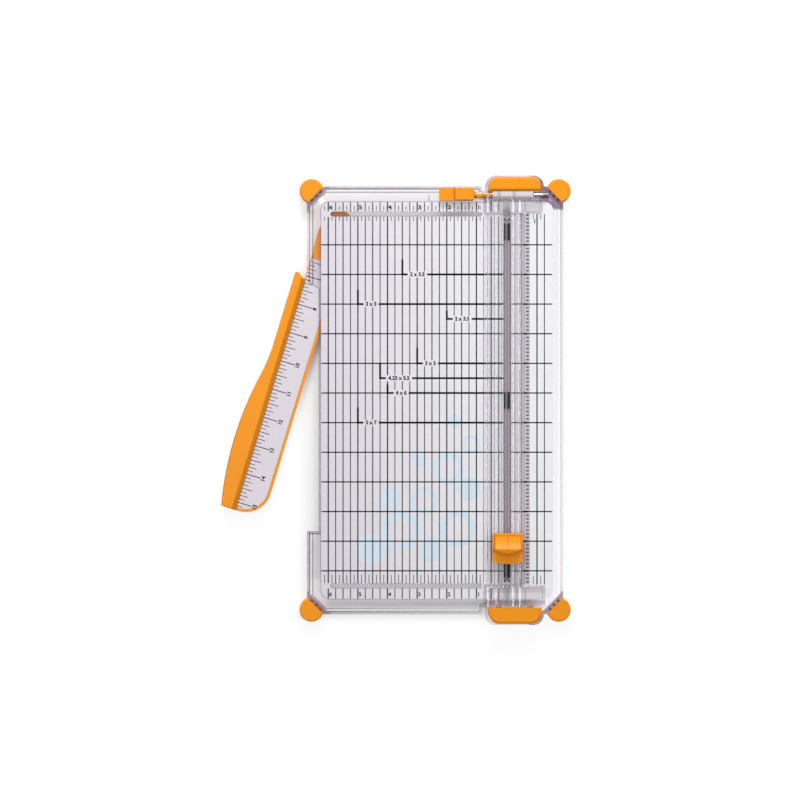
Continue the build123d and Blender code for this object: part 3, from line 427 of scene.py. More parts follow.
class TrimmerPrint(bpy.types.PropertyGroup):
    """Sizes of the ruled print"""
    film: FloatProperty(
        name="Film", description="Thickness of the printed film", default=0.02 * MM, unit="LENGTH")
    tick: FloatProperty(
        name="Ticks", description="Width of the eighth-inch ticks", default=0.55 * MM, unit="LENGTH")
    fine: FloatProperty(
        name="Fine line", description="Width of the quarter-inch lines", default=0.75 * MM, unit="LENGTH")
    half: FloatProperty(
        name="Half-inch line", description="Width of the half-inch lines", default=0.88 * MM, unit="LENGTH")
    inch: FloatProperty(
        name="Inch line", description="Width of the inch lines", default=1.05 * MM, unit="LENGTH")
    bold: FloatProperty(
        name="Bold line", description="Width of the paper-size marks", default=1.65 * MM, unit="LENGTH")
    figure: FloatProperty(
        name="Figures", description="Height of the ruler figures", default=3.3 * MM, unit="LENGTH")


class TrimmerStage(bpy.types.PropertyGroup):
    """Camera and light"""
    camera_height: FloatProperty(
        name="Camera height", description="Height of the camera above the desk", default=1.9, unit="LENGTH")
    frame_width: FloatProperty(
        name="Frame width", description="Width of the view at the deck", default=0.6856, unit="LENGTH")
    lamp: FloatProperty(
        name="Soft box", description="Power of the left soft box, which the others follow", default=6.5,
        unit="POWER")
    sky: FloatProperty(name="Sky", description="Strength of the room's light", default=0.44)


class TRIMMER_OT_clear_plastic(bpy.types.Operator):
    """Clear moulded polystyrene on the tray and the hinged rail"""
    bl_idname = "trimmer.clear_plastic"
    bl_label = "Clear Plastic"

    def execute(self, context):
        colours = context.scene.trimmer_finishes
        # Clear moulded polystyrene: a polished tool, so glossy and see-through, with a lilac cast that
        # deepens along its walls. The tray has the slight waviness of a moulded face, some 14 mm from swell
        # to swell, and the rail shallow ridges.
        for name, piece, ridged, edge_shade_width, edge_shade_level, edge_shade_fade, depth_density in (
            ("clear_polystyrene", "base_tray", False, 1.3 * MM, 0.85, TRAY_EDGE_SHADE_FADE, 45.0),
            ("clear_ridged_polystyrene", "rail", True, 0.9 * MM, 0.58, (0.0, 0.0, 0.0), 12.0),
        ):
            clear, tree, output = new_material(name)
            place = add_node(tree, "ShaderNodeTexCoord")
            wave = add_node(
                tree, "ShaderNodeTexNoise", {"Scale": 70.0, "Detail": 1.0}, {"Vector": (place, "Object")})
            bump = add_node(
                tree, "ShaderNodeBump", {"Strength": 0.03, "Distance": 0.4 * MM}, {"Height": (wave, "Fac")})
            if ridged:
                ridges = levels_along(tree, place, "X", RIDGE_SPAN, RIDGE_HEIGHT)
                bump = add_node(
                    tree, "ShaderNodeBump", {"Strength": 1.0, "Distance": 0.4 * MM},
                    {"Height": (ridges, "Color")})
            haze = add_node(
                tree, "ShaderNodeMapRange", {"To Min": 0.03, "To Max": 0.09}, {"Value": (wave, "Fac")})
            # Painted shade: each edge gets a fine dark line, in place of the light that it bends away to the
            # side.
            surface = add_node(tree, "ShaderNodeNewGeometry")
            softened = add_node(tree, "ShaderNodeBevel", {"samples": 8, "Radius": edge_shade_width})
            same = add_node(
                tree, "ShaderNodeVectorMath", {"operation": "DOT_PRODUCT"},
                {0: (softened, "Normal"), 1: (surface, "Normal")})
            edge = add_node(
                tree, "ShaderNodeMapRange",
                {"From Min": 0.95, "From Max": 0.998, "To Min": 1.0, "To Max": 0.0},
                {"Value": (same, "Value")})
            towards = add_node(
                tree, "ShaderNodeVectorMath", {"operation": "DOT_PRODUCT", 1: edge_shade_fade},
                {0: (place, "Object")})
            plain = add_node(
                tree, "ShaderNodeMath", {"operation": "ADD", 1: edge_shade_level, "use_clamp": True},
                {0: (towards, "Value")})
            line = add_node(
                tree, "ShaderNodeMath", {"operation": "MULTIPLY"}, {0: (edge, "Result"), 1: (plain, 0)})
            tone = add_node(
                tree, "ShaderNodeMix",
                {"data_type": "RGBA", MIX_A: (*colours.clear, 1), MIX_B: (*colours.edge, 1)}, {0: (line, 0)})
            # Painted shade: dark streaks beside the rail's ridges, and darker end blocks.
            if ridged:
                for axis, span, points, shade in (
                    ("X", RIDGE_SPAN, RIDGE_STREAK_SHADE, colours.edge),
                    ("Y", BLOCK_SPAN, BLOCK_PAINTED_SHADE, colours.corner),
                ):
                    painted_shade_level = levels_along(tree, place, axis, span, points)
                    tone = add_node(
                        tree, "ShaderNodeMix", {"data_type": "RGBA", MIX_A: (*shade, 1)},
                        {0: (painted_shade_level, "Color"), MIX_B: (tone, MIX_RESULT)})
            else:
                # Painted shade: beside each foot the cut-off corner's wall is darkened.
                offset = add_node(
                    tree, "ShaderNodeVectorMath", {"operation": "SUBTRACT", 1: TRAY_MIDDLE},
                    {0: (place, "Object")})
                reach = add_node(
                    tree, "ShaderNodeVectorMath", {"operation": "ABSOLUTE"}, {0: (offset, "Vector")})
                aslant = add_node(
                    tree, "ShaderNodeVectorMath", {"operation": "DOT_PRODUCT", 1: DIAGONAL},
                    {0: (reach, "Vector")})
                corner = add_node(
                    tree, "ShaderNodeMapRange", {"From Min": CORNER_WALL_SHADE[0], "From Max": CORNER_WALL_SHADE[1]},
                    {"Value": (aslant, "Value")})
                tone = add_node(
                    tree, "ShaderNodeMix", {"data_type": "RGBA", MIX_B: (*colours.corner, 1)},
                    {0: (corner, "Result"), MIX_A: (tone, MIX_RESULT)})
                # Painted shade around the hinge, in the corner and in the bay.
                for tones in HINGE_SHADES:
                    across, along = (
                        levels_along(tree, place, axis, span, points)
                        for axis, span, points in zip("XY", HINGE_SPAN, tones))
                    hinge_shade_mask = add_node(
                        tree, "ShaderNodeMath", {"operation": "MULTIPLY"},
                        {0: (across, "Color"), 1: (along, "Color")})
                    tone = add_node(
                        tree, "ShaderNodeMix", {"data_type": "RGBA", MIX_B: (*colours.hinge, 1)},
                        {0: (hinge_shade_mask, 0), MIX_A: (tone, MIX_RESULT)})
            body = add_node(
                tree, "ShaderNodeBsdfPrincipled", {"IOR": 1.57, "Transmission Weight": 1.0},
                {"Base Color": (tone, MIX_RESULT), "Normal": (bump, "Normal"), "Roughness": (haze, "Result")})
            # Lamp and room light reach what lies below the plastic, dimmed most by its steep faces.
            path = add_node(tree, "ShaderNodeLightPath")
            light = add_node(
                tree, "ShaderNodeMath", {"operation": "MAXIMUM"},
                {0: (path, "Is Shadow Ray"), 1: (path, "Is Diffuse Ray")})
            facing = add_node(tree, "ShaderNodeSeparateXYZ", {}, {0: (place, "Normal")})
            flat = add_node(tree, "ShaderNodeMath", {"operation": "ABSOLUTE"}, {0: (facing, "Z")})
            let_by = add_node(
                tree, "ShaderNodeMapRange",
                {"From Min": 0.3, "From Max": 0.95, "To Min": 0.94, "To Max": 1.0}, {"Value": (flat, 0)})
            open_way = add_node(tree, "ShaderNodeBsdfTransparent", {}, {"Color": (let_by, "Result")})
            mixed = add_node(
                tree, "ShaderNodeMixShader", {}, {0: (light, 0), 1: (body, "BSDF"), 2: (open_way, "BSDF")})
            tree.links.new(mixed.outputs[0], output.inputs["Surface"])
            depth = add_node(
                tree, "ShaderNodeVolumeAbsorption",
                {"Color": (*colours.smoke, 1), "Density": depth_density})
            tree.links.new(depth.outputs["Volume"], output.inputs["Volume"])
            dress(clear, piece)
        return {"FINISHED"}


class TRIMMER_OT_orange_plastic(bpy.types.Operator):
    """Moulded orange ABS on the feet, covers, carriage, pin slide and arm"""
    bl_idname = "trimmer.orange_plastic"
    bl_label = "Orange Plastic"

    def execute(self, context):
        colours = context.scene.trimmer_finishes
        # Moulded ABS from a satin spark-eroded tool: a fine grain that breaks up the highlight, drawn at
        # about 0.7 mm, coarse enough to show, and a slight drift of pigment, some 40 mm across.
        orange, tree, output = new_material("orange_abs")
        place = add_node(tree, "ShaderNodeTexCoord")
        grain = add_node(
            tree, "ShaderNodeTexNoise", {"Scale": 1400.0, "Detail": 2.0}, {"Vector": (place, "Object")})
        drift = add_node(
            tree, "ShaderNodeTexNoise", {"Scale": 24.0, "Detail": 2.0}, {"Vector": (place, "Object")})
        level = add_node(
            tree, "ShaderNodeMapRange", {"To Min": 0.95, "To Max": 1.05}, {"Value": (drift, "Fac")})
        tone = add_node(
            tree, "ShaderNodeHueSaturation", {"Color": (*colours.orange, 1)}, {"Value": (level, "Result")})
        # Painted shade: in a hollow the orange turns deeper, by how closed in it is within 5 mm.
        hollow = add_node(
            tree, "ShaderNodeAmbientOcclusion", {"samples": 8, "only_local": True, "Distance": 5.0 * MM})
        open_share = add_node(
            tree, "ShaderNodeMapRange", {"From Min": 0.45, "From Max": 0.9}, {"Value": (hollow, "AO")})
        tone = add_node(
            tree, "ShaderNodeMix", {"data_type": "RGBA", MIX_A: (*colours.orange_deep, 1)},
            {0: (open_share, "Result"), MIX_B: (tone, "Color")})
        rough = add_node(
            tree, "ShaderNodeMapRange", {"To Min": 0.3, "To Max": 0.42}, {"Value": (grain, "Fac")})
        bump = add_node(
            tree, "ShaderNodeBump", {"Strength": 0.12, "Distance": 0.05 * MM}, {"Height": (grain, "Fac")})
        body = add_node(
            tree, "ShaderNodeBsdfPrincipled", {"IOR": 1.53, "Specular IOR Level": 0.22},
            {"Base Color": (tone, MIX_RESULT), "Roughness": (rough, "Result"), "Normal": (bump, "Normal")})
        tree.links.new(body.outputs["BSDF"], output.inputs["Surface"])
        dress(
            orange, "foot_rear_left", "foot_rear_right", "foot_front_left", "foot_front_right",
            "hinge_cover", "lift_handle", "carriage_housing", "thumb_grip", "blade_holder",
            "hinge_pin_slide", "swing_arm")
        return {"FINISHED"}


class TRIMMER_OT_sheets(bpy.types.Operator):
    """Pale printed film on the two measuring sheets and the arm's scale"""
    bl_idname = "trimmer.sheets"
    bl_label = "Measuring Sheets"

    def execute(self, context):
        colours = context.scene.trimmer_finishes
        # Screen-printed polystyrene sheet: matt, with a faint mottle a few millimetres across, and painted
        # light: a ground that turns from a darker warm tone to a lighter cool one over the width of the deck.
        sheet, tree, output = new_material("printed_film")
        place = add_node(tree, "ShaderNodeTexCoord")
        mottle = add_node(
            tree, "ShaderNodeTexNoise", {"Scale": 220.0, "Detail": 3.0}, {"Vector": (place, "Object")})
        level = add_node(
            tree, "ShaderNodeMapRange", {"To Min": 0.97, "To Max": 1.03}, {"Value": (mottle, "Fac")})
        axes = add_node(tree, "ShaderNodeSeparateXYZ", {}, {0: (place, "Object")})
        drift = add_node(
            tree, "ShaderNodeMapRange", {"From Min": SHEET_PAINTED_LIGHT[0], "From Max": SHEET_PAINTED_LIGHT[1]},
            {"Value": (axes, "X")})
        ground = add_node(
            tree, "ShaderNodeMix",
            {"data_type": "RGBA", MIX_A: (*colours.sheet, 1), MIX_B: (*colours.sheet_right, 1)},
            {0: (drift, "Result")})
        tone = add_node(
            tree, "ShaderNodeHueSaturation", {}, {"Color": (ground, MIX_RESULT), "Value": (level, "Result")})
        rough = add_node(
            tree, "ShaderNodeMapRange", {"To Min": 0.45, "To Max": 0.6}, {"Value": (mottle, "Fac")})
        body = add_node(
            tree, "ShaderNodeBsdfPrincipled", {"IOR": 1.5},
            {"Base Color": (tone, "Color"), "Roughness": (rough, "Result")})
        tree.links.new(body.outputs["BSDF"], output.inputs["Surface"])
        dress(sheet, "left_measuring_sheet", "right_measuring_sheet", "arm_scale")
        return {"FINISHED"}


class TRIMMER_OT_metal_and_rubber(bpy.types.Operator):
    """Steel of the wire, blade, springs and screws, rubber of the pads and the soft cutting strip"""
    bl_idname = "trimmer.metal_and_rubber"
    bl_label = "Metal and Rubber"

    def execute(self, context):
        colours = context.scene.trimmer_finishes
        # Bright drawn steel: fine lines along the length, about 0.3 mm apart.
        steel, tree, output = new_material("drawn_steel")
        place = add_node(tree, "ShaderNodeTexCoord")
        lines = add_node(
            tree, "ShaderNodeMapping", {"Scale": (3000.0, 60.0, 3000.0)}, {"Vector": (place, "Object")})
        brush = add_node(
            tree, "ShaderNodeTexNoise", {"Scale": 1.0, "Detail": 2.0}, {"Vector": (lines, "Vector")})
        rough = add_node(
            tree, "ShaderNodeMapRange", {"To Min": 0.22, "To Max": 0.4}, {"Value": (brush, "Fac")})
        body = add_node(
            tree, "ShaderNodeBsdfPrincipled", {"Base Color": (*linear("#C4C4C8"), 1), "Metallic": 1.0},
            {"Roughness": (rough, "Result")})
        tree.links.new(body.outputs["BSDF"], output.inputs["Surface"])
        dress(
            steel, "fixed_hinge_pin", "cut_line_wire", "blade", "return_springs", "arm_washer",
            "arm_pivot_screw")
        # Blackened steel of the wire's anchors: a thin oxide skin, rubbed a little on its high spots.
        black, tree, output = new_material("blackened_steel")
        place = add_node(tree, "ShaderNodeTexCoord")
        rub = add_node(
            tree, "ShaderNodeTexNoise", {"Scale": 1500.0, "Detail": 2.0}, {"Vector": (place, "Object")})
        shade = add_node(tree, "ShaderNodeValToRGB", {}, {"Fac": (rub, "Fac")})
        shade.color_ramp.elements[0].color = (*linear("#161518"), 1)
        shade.color_ramp.elements[1].color = (*linear("#343238"), 1)
        body = add_node(
            tree, "ShaderNodeBsdfPrincipled", {"Roughness": 0.5}, {"Base Color": (shade, "Color")})
        tree.links.new(body.outputs["BSDF"], output.inputs["Surface"])
        dress(black, "wire_anchors")
        # Black moulded rubber: matt, with a fine dusty grain of about half a millimetre.
        rubber, tree, output = new_material("black_rubber")
        place = add_node(tree, "ShaderNodeTexCoord")
        grain = add_node(
            tree, "ShaderNodeTexNoise", {"Scale": 1800.0, "Detail": 2.0}, {"Vector": (place, "Object")})
        shade = add_node(tree, "ShaderNodeValToRGB", {}, {"Fac": (grain, "Fac")})
        shade.color_ramp.elements[0].color = (*linear("#0E0E10"), 1)
        shade.color_ramp.elements[1].color = (*linear("#222226"), 1)
        body = add_node(
            tree, "ShaderNodeBsdfPrincipled", {"Roughness": 0.7}, {"Base Color": (shade, "Color")})
        tree.links.new(body.outputs["BSDF"], output.inputs["Surface"])
        dress(rubber, "grip_pads_rear", "grip_pads_middle", "grip_pads_front")
        # Soft polypropylene strip: waxy, scored along its length where blades have run, about 0.4 mm apart.
        strip, tree, output = new_material("soft_polypropylene")
        place = add_node(tree, "ShaderNodeTexCoord")
        lines = add_node(
            tree, "ShaderNodeMapping", {"Scale": (2500.0, 12.0, 1.0)}, {"Vector": (place, "Object")})
        score = add_node(
            tree, "ShaderNodeTexNoise", {"Scale": 1.0, "Detail": 2.0}, {"Vector": (lines, "Vector")})
        level = add_node(
            tree, "ShaderNodeMapRange", {"To Min": 0.9, "To Max": 1.06}, {"Value": (score, "Fac")})
        tone = add_node(
            tree, "ShaderNodeHueSaturation", {"Color": (*colours.strip, 1)}, {"Value": (level, "Result")})
        body = add_node(
            tree, "ShaderNodeBsdfPrincipled", {"Roughness": 0.5}, {"Base Color": (tone, "Color")})
        tree.links.new(body.outputs["BSDF"], output.inputs["Surface"])
        dress(strip, "cutting_strip")
        return {"FINISHED"}


class TRIMMER_OT_leaf_springs(bpy.types.Operator):
    """Leaf springs below the thumb grip, welded into one piece and seated on the carriage"""
    bl_idname = "trimmer.leaf_springs"
    bl_label = "Leaf Springs"

    def execute(self, context):
        springs = bpy.data.objects.new("leaf_springs", bpy.data.objects["return_springs"].data.copy())
        context.collection.objects.link(springs)
        deselect()
        springs.select_set(True)
        context.view_layer.objects.active = springs
        bpy.ops.object.mode_set(mode="EDIT")
        bpy.ops.mesh.select_all(action="SELECT")
        bpy.ops.mesh.remove_doubles(threshold=WELD)
        bpy.ops.object.mode_set(mode="OBJECT")
        seat(springs, "carriage", bpy.data.materials["drawn_steel"])
        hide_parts("return_springs")
        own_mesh(springs)
        return {"FINISHED"}


class TRIMMER_OT_inks(bpy.types.Operator):
    """Ink of the lines and figures, and the pale tint of the discs"""
    bl_idname = "trimmer.inks"
    bl_label = "Inks"

    def execute(self, context):
        colours = context.scene.trimmer_finishes
        # Screen ink: a matt film whose density wanders a little from stroke to stroke.
        for name, colour, low, high in (
            ("black_screen_ink", colours.ink, 0.8, 1.25), ("blue_screen_tint", colours.tint, 0.97, 1.02),
            # A grey film for the band below the right sheet's ladder, made the same way.
            ("grey_ladder_film", colours.band, 0.95, 1.05),
        ):
            _, tree, output = new_material(name)
            place = add_node(tree, "ShaderNodeTexCoord")
            cover = add_node(
                tree, "ShaderNodeTexNoise", {"Scale": 160.0, "Detail": 3.0}, {"Vector": (place, "Object")})
            level = add_node(
                tree, "ShaderNodeMapRange", {"To Min": low, "To Max": high}, {"Value": (cover, "Fac")})
            tone = add_node(
                tree, "ShaderNodeHueSaturation", {"Color": (*colour, 1)}, {"Value": (level, "Result")})
            body = add_node(
                tree, "ShaderNodeBsdfPrincipled", {"Roughness": 0.6, "Specular IOR Level": 0.15},
                {"Base Color": (tone, "Color")})
            tree.links.new(body.outputs["BSDF"], output.inputs["Surface"])
        return {"FINISHED"}


class TRIMMER_OT_sheet_tint(bpy.types.Operator):
    """Pale discs and rings printed below the ruling of the left sheet"""
    bl_idname = "trimmer.sheet_tint"
    bl_label = "Sheet Tint"

    def execute(self, context):
        parts = []
        for number, (x, y, radius) in enumerate(TINT_DISCS):
            deselect()
            bpy.ops.mesh.primitive_circle_add(
                vertices=DISC_SIDES, radius=radius * MM, fill_type="NGON", location=(x * MM, y * MM, DECK_Z))
            disc = bpy.context.object
            bpy.ops.object.mode_set(mode="EDIT")
            bpy.ops.mesh.select_all(action="SELECT")
            bpy.ops.mesh.inset(thickness=radius * MM * RING_SHARE)
            if number % 2:
                bpy.ops.mesh.delete(type="FACE")
            bpy.ops.mesh.select_all(action="SELECT")
            lift = (0, 0, TINT_LIFT + TINT_STEP * number)
            bpy.ops.mesh.extrude_region_move(TRANSFORM_OT_translate={"value": lift})
            bpy.ops.mesh.select_all(action="SELECT")
            bpy.ops.mesh.normals_make_consistent(inside=False)
            bpy.ops.object.mode_set(mode="OBJECT")
            bpy.ops.object.transform_apply(location=True, rotation=True, scale=True)
            parts.append(disc)
        tint = joined(parts, "sheet_tint")
        seat(tint, "base", bpy.data.materials["blue_screen_tint"])
        return {"FINISHED"}


class TRIMMER_OT_left_ruling(bpy.types.Operator):
    """Grid, ticks and figures of the left measuring sheet"""
    bl_idname = "trimmer.left_ruling"
    bl_label = "Left Ruling"

    def execute(self, context):
        ruling = context.scene.trimmer_print
        low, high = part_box("left_measuring_sheet")
        z = DECK_Z + ruling.film / 2
        parts = []
        # Lengthwise lines run in three stretches, between and outside the fences.
        for start, end in LEFT_LINES:
            middle = (start + end) / 2 * MM
            length = (end - start) * MM
            for layer, (width, share) in enumerate(((ruling.fine, 4), (ruling.half, 2), (ruling.inch, 1))):
                step = INCH / share
                parts.append(ruled(
                    (width, length, ruling.film), (ZERO_X - step, middle, z + layer * INK_LAYER),
                    (-step, 0, 0), LEFT_INCHES * share))
        # Cross lines at each inch below the zero
        width = high.x - low.x - 2 * SHEET_MARGIN
        parts.append(ruled(
            (width, ruling.inch, ruling.film), ((low.x + high.x) / 2, ZERO_Y - INCH, z + 4 * INK_LAYER),
            (0, -INCH, 0), DECK_INCHES))
        # Ticks at the odd eighths, beside both fences
        for start, end in LEFT_TICKS:
            parts.append(ruled(
                (ruling.tick, (end - start) * MM, ruling.film),
                (ZERO_X - FIRST_TICK, (start + end) / 2 * MM, z), (-INCH / 4, 0, 0), LEFT_TICK_COUNT))
        for number in range(1, LEFT_INCHES + 1):
            for row in LEFT_FIGURES:
                place = (ZERO_X - number * INCH + LEFT_FIGURE_ASIDE, row * MM, z)
                parts.append(lettered(str(number), ruling.figure, place, FIGURE_WEIGHT))
        print_left = joined(parts, "left_sheet_ruling")
        seat(print_left, "base", bpy.data.materials["black_screen_ink"])
        return {"FINISHED"}


class TRIMMER_OT_paper_sizes(bpy.types.Operator):
    """Corner marks of common paper sizes with their labels on a clear ground"""
    bl_idname = "trimmer.paper_sizes"
    bl_label = "Paper Sizes"

    def execute(self, context):
        ruling = context.scene.trimmer_print
        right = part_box("left_measuring_sheet")[1].x - SHEET_MARGIN
        mark_z = DECK_Z + ruling.film * MARK_FILMS
        ground_z = DECK_Z + ruling.film * GROUND_FILMS
        marks = []
        grounds = []
        for words, across, down, stub, label, gap in PAPER_SIZES:
            x = ZERO_X - across * INCH
            y = ZERO_Y - down * INCH
            left = x - ruling.bold / 2
            marks.append(ruled(
                (right - left, ruling.bold, ruling.film), ((left + right) / 2, y, mark_z)))
            marks.append(ruled(
                (ruling.bold, stub * MM, ruling.film), (x, y + stub * MM / 2, mark_z)))
            grounds.append(ruled(
                (gap * MM, LABEL_GROUND, ruling.film), (x + label * MM, y, ground_z)))
            place = (x + label * MM, y, ground_z + ruling.film)
            marks.append(lettered(words, LABEL_HEIGHT, place, LABEL_WEIGHT))
        seat(joined(grounds, "label_grounds"), "base", bpy.data.materials["printed_film"])
        seat(
            joined(marks, "paper_size_marks"), "base",
            bpy.data.materials["black_screen_ink"])
        return {"FINISHED"}


class TRIMMER_OT_right_ruling(bpy.types.Operator):
    """Lines, tick ladder and figure of the right measuring sheet"""
    bl_idname = "trimmer.right_ruling"
    bl_label = "Right Ruling"

    def execute(self, context):
        ruling = context.scene.trimmer_print
        z = DECK_Z + ruling.film / 2
        length = RIGHT_REAR - RIGHT_FRONT
        middle = (RIGHT_REAR + RIGHT_FRONT) / 2
        # The ladder stands on a grey band of two strips, with a thin line at the left and between them.
        strips = [
            ruled((width * MM, length, ruling.film / 2), (x * MM, middle, DECK_Z + ruling.film / 4))
            for x, width in LADDER_STRIPS
        ]
        seat(joined(strips, "ladder_band"), "base", bpy.data.materials["grey_ladder_film"])
        x, step, width = LADDER_LINES
        parts = [ruled((width * MM, length, ruling.film), (x * MM, middle, z), (step * MM, 0, 0), 2)]
        for (x, across, width), first, step, count in (
            (LADDER_RUNGS, ZERO_Y, INCH / 8, LADDER_RUNG_COUNT),
            (LADDER_BLOCKS, ZERO_Y - INCH, INCH, DECK_INCHES),
        ):
            parts.append(ruled(
                (across * MM, width * MM, ruling.film), (x * MM, first, z), (0, -step, 0), count))
        # Lengthwise lines at the inch, and a quarter inch beyond it and beyond the zero
        for inches, width in ((1, ruling.inch), (5 / 4, ruling.fine), (1 / 4, ruling.fine)):
            parts.append(ruled((width, length, ruling.film), (RIGHT_ZERO_X + inches * INCH, middle, z)))
        parts.append(ruled(
            (RIGHT_CROSS_LENGTH, ruling.inch, ruling.film),
            (RIGHT_CROSS_X, ZERO_Y - INCH, z + 2 * INK_LAYER), (0, -INCH, 0), DECK_INCHES))
        for start, end in RIGHT_TICKS:
            parts.append(ruled(
                (ruling.tick, (end - start) * MM, ruling.film),
                (RIGHT_ZERO_X + FIRST_TICK, (start + end) / 2 * MM, z), (INCH / 4, 0, 0), RIGHT_TICK_COUNT))
        place = (RIGHT_ZERO_X + INCH - RIGHT_FIGURE_ASIDE, RIGHT_FIGURE_Y, z)
        parts.append(lettered("1", ruling.figure, place, FIGURE_WEIGHT))
        print_right = joined(parts, "right_sheet_ruling")
        seat(print_right, "base", bpy.data.materials["black_screen_ink"])
        return {"FINISHED"}


class TRIMMER_OT_arm_ruling(bpy.types.Operator):
    """Ticks and figures of the swing arm's scale"""
    bl_idname = "trimmer.arm_ruling"
    bl_label = "Arm Ruling"

    def execute(self, context):
        ruling = context.scene.trimmer_print
        z = ruling.film / 2
        parts = []
        for first, step, count, length, width in ARM_TICKS:
            parts.append(ruled(
                (width * MM, length * MM, ruling.film),
                (ARM_ZERO + first * INCH, ARM_TICK_FOOT + length / 2 * MM, z), (step * INCH, 0, 0), count))
        for number in ARM_FIGURES:
            place = (ARM_ZERO + number * INCH, ARM_TICK_FOOT + ARM_FIGURE_RISE, z)
            parts.append(lettered(str(number), LABEL_HEIGHT, place, LABEL_WEIGHT, math.pi))
        scale = joined(parts, "arm_scale_ruling")
        turn = Matrix.Rotation(-math.pi / 2 - ARM_ANGLE, 4, "Z")
        scale.matrix_world = Matrix.Translation((*ARM_PIVOT, ARM_SCALE_Z)) @ turn
        bpy.ops.object.transform_apply(location=True, rotation=True, scale=True)
        seat(scale, "arm", bpy.data.materials["black_screen_ink"])
        return {"FINISHED"}


class TRIMMER_OT_stage(bpy.types.Operator):
    """White desk, soft boxes, room light and the camera straight above"""
    bl_idname = "trimmer.stage"
    bl_label = "Stage"

    def execute(self, context):
        scene = context.scene
        settings = scene.trimmer_stage
        scene.view_settings.view_transform = "Standard"
        deselect()
        bpy.ops.mesh.primitive_plane_add(size=DESK_SIZE, location=(0, 0, 0))
        desk = context.object
        desk.name = "desk"
        # White laminate that reads as pure white, and still takes the object's soft shadow.
        white, tree, output = new_material("white_laminate")
        path = add_node(tree, "ShaderNodeLightPath")
        seen = add_node(
            tree, "ShaderNodeMath", {"operation": "MAXIMUM"},
            {0: (path, "Is Camera Ray"), 1: (path, "Is Glossy Ray")})
        seen_through = add_node(
            tree, "ShaderNodeMath", {"operation": "MAXIMUM"},
            {0: (seen, 0), 1: (path, "Is Transmission Ray")})
        # Painted shadow: below the tray the desk's glow is taken away, less so below the fences.
        place = add_node(tree, "ShaderNodeTexCoord")
        middle = add_node(
            tree, "ShaderNodeVectorMath", {"operation": "SUBTRACT", 1: SHADOW_MIDDLE},
            {0: (place, "Object")})
        reach = add_node(
            tree, "ShaderNodeVectorMath", {"operation": "ABSOLUTE"}, {0: (middle, "Vector")})
        sides = add_node(tree, "ShaderNodeSeparateXYZ", {}, {0: (reach, "Vector")})
        beside = add_node(
            tree, "ShaderNodeMapRange", {"From Min": SHADOW_SIDE[0], "From Max": SHADOW_SIDE[1]},
            {"Value": (sides, "X")})
        beyond = levels_along(tree, place, "Y", DESK_SPAN, DESK_LIGHT)
        clear_of = add_node(
            tree, "ShaderNodeMath", {"operation": "MAXIMUM"}, {0: (beside, 0), 1: (beyond, "Color")})
        lit = add_node(
            tree, "ShaderNodeMapRange", {"To Min": WHITE_SHARE[0], "To Max": WHITE_SHARE[1]},
            {"Value": (clear_of, 0)})
        share = add_node(
            tree, "ShaderNodeMath", {"operation": "MULTIPLY"}, {0: (seen_through, 0), 1: (lit, 0)})
        matt = add_node(tree, "ShaderNodeBsdfDiffuse", {"Color": (0.88, 0.88, 0.88, 1)})
        through = add_node(
            tree, "ShaderNodeMath",
            {"operation": "MULTIPLY_ADD", 1: WHITE_BEHIND_PLASTIC, 2: WHITE_STRENGTH},
            {0: (path, "Is Transmission Ray")})
        glow = add_node(tree, "ShaderNodeEmission", {"Color": (1, 1, 1, 1)}, {"Strength": (through, 0)})
        mixed = add_node(
            tree, "ShaderNodeMixShader", {}, {0: (share, 0), 1: (matt, "BSDF"), 2: (glow, "Emission")})
        tree.links.new(mixed.outputs[0], output.inputs["Surface"])
        dress(white, "desk")
        # Room light: bright overhead and behind, greyer towards the horizon, so that clear edges read.
        world = bpy.data.worlds.new("studio")
        world.use_nodes = True
        scene.world = world
        tree = world.node_tree
        tree.nodes.clear()
        place = add_node(tree, "ShaderNodeTexCoord")
        axes = add_node(tree, "ShaderNodeSeparateXYZ", {}, {0: (place, "Generated")})
        behind = add_node(
            tree, "ShaderNodeMath", {"operation": "MULTIPLY_ADD", 1: REAR_SHARE},
            {0: (axes, "Y"), 2: (axes, "Z")})
        ramp = add_node(tree, "ShaderNodeValToRGB", {}, {"Fac": (behind, 0)})
        ramp.color_ramp.elements[0].position = 0.0
        ramp.color_ramp.elements[0].color = HORIZON
        ramp.color_ramp.elements[1].position = OVERHEAD_FROM
        ramp.color_ramp.elements[1].color = OVERHEAD
        sky = add_node(tree, "ShaderNodeBackground", {"Strength": settings.sky}, {"Color": (ramp, "Color")})
        add_node(tree, "ShaderNodeOutputWorld", {}, {"Surface": (sky, "Background")})
        for name, place, width, length, share in SOFT_BOXES:
            deselect()
            bpy.ops.object.light_add(type="AREA", location=place)
            lamp = context.object
            lamp.name = name
            lamp.data.shape = "RECTANGLE"
            lamp.data.size = width
            lamp.data.size_y = length
            lamp.data.energy = settings.lamp * share
            if place[0]:
                lamp.rotation_euler = (0, math.atan2(place[0], place[2]), 0)
            else:
                lamp.rotation_euler = (-math.atan2(place[1], place[2]), 0, 0)
        # Camera straight above the middle of the view
        deselect()
        bpy.ops.object.camera_add(
            location=(CAMERA_X, CAMERA_Y, settings.camera_height), rotation=(0, 0, 0))
        camera = context.object
        camera.name = "camera_above"
        camera.data.sensor_width = SENSOR_WIDTH
        camera.data.lens = SENSOR_WIDTH * (settings.camera_height - DECK_Z) / settings.frame_width
        camera.data.clip_end = CAMERA_REACH
        scene.camera = camera
        return {"FINISHED"}


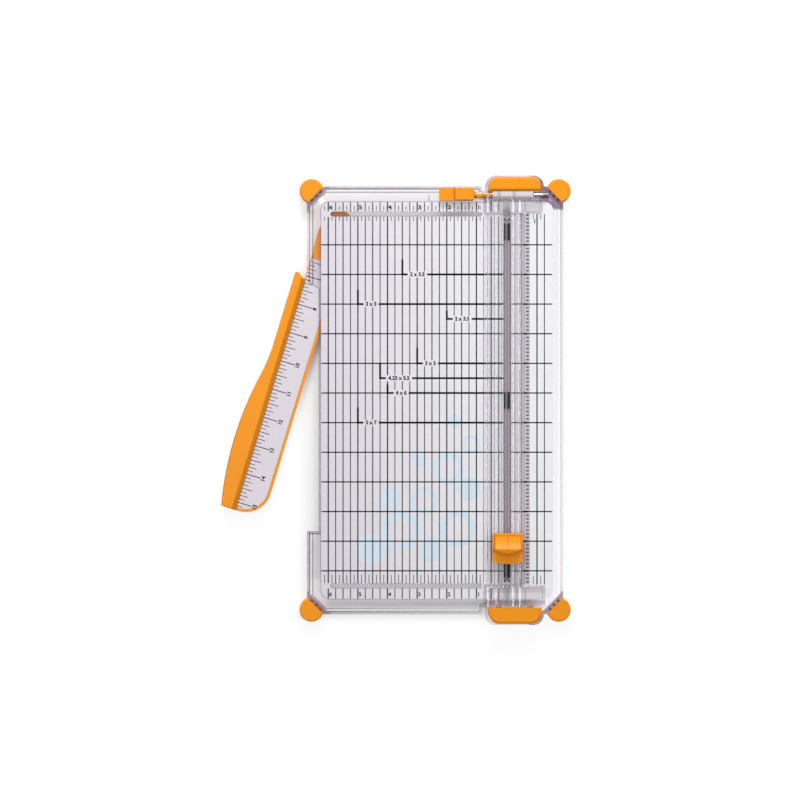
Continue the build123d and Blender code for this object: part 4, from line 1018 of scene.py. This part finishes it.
class TRIMMER_PT_dressing(bpy.types.Panel):
    """Settings of the trimmer and the steps that dress it"""
    bl_label = "Paper Trimmer"
    bl_idname = "TRIMMER_PT_dressing"
    bl_space_type = "VIEW_3D"
    bl_region_type = "UI"
    bl_category = "Trimmer"

    def draw(self, context):
        layout = self.layout
        for group in (
            context.scene.trimmer_finishes, context.scene.trimmer_print, context.scene.trimmer_stage,
        ):
            box = layout.box()
            for name in group.bl_rna.properties.keys():
                if name not in {"rna_type", "name"}:
                    box.prop(group, name)
        for step in STEPS:
            layout.operator(step.bl_idname)


STEPS = (
    TRIMMER_OT_clear_plastic,
    TRIMMER_OT_orange_plastic,
    TRIMMER_OT_sheets,
    TRIMMER_OT_metal_and_rubber,
    TRIMMER_OT_leaf_springs,
    TRIMMER_OT_inks,
    TRIMMER_OT_sheet_tint,
    TRIMMER_OT_left_ruling,
    TRIMMER_OT_paper_sizes,
    TRIMMER_OT_right_ruling,
    TRIMMER_OT_arm_ruling,
    TRIMMER_OT_stage,
)
GROUPS = (TrimmerFinishes, TrimmerPrint, TrimmerStage)


def register():
    for kind in (*GROUPS, *STEPS, TRIMMER_PT_dressing):
        bpy.utils.register_class(kind)
    bpy.types.Scene.trimmer_finishes = PointerProperty(type=TrimmerFinishes)
    bpy.types.Scene.trimmer_print = PointerProperty(type=TrimmerPrint)
    bpy.types.Scene.trimmer_stage = PointerProperty(type=TrimmerStage)


def unregister():
    del bpy.types.Scene.trimmer_stage
    del bpy.types.Scene.trimmer_print
    del bpy.types.Scene.trimmer_finishes
    for kind in reversed((*GROUPS, *STEPS, TRIMMER_PT_dressing)):
        bpy.utils.unregister_class(kind)


def main():
    register()
    bpy.ops.trimmer.clear_plastic()
    bpy.ops.trimmer.orange_plastic()
    bpy.ops.trimmer.sheets()
    bpy.ops.trimmer.metal_and_rubber()
    bpy.ops.trimmer.leaf_springs()
    bpy.ops.trimmer.inks()
    bpy.ops.trimmer.sheet_tint()
    bpy.ops.trimmer.left_ruling()
    bpy.ops.trimmer.paper_sizes()
    bpy.ops.trimmer.right_ruling()
    bpy.ops.trimmer.arm_ruling()
    bpy.ops.trimmer.stage()


if __name__ == "__main__":
    main()
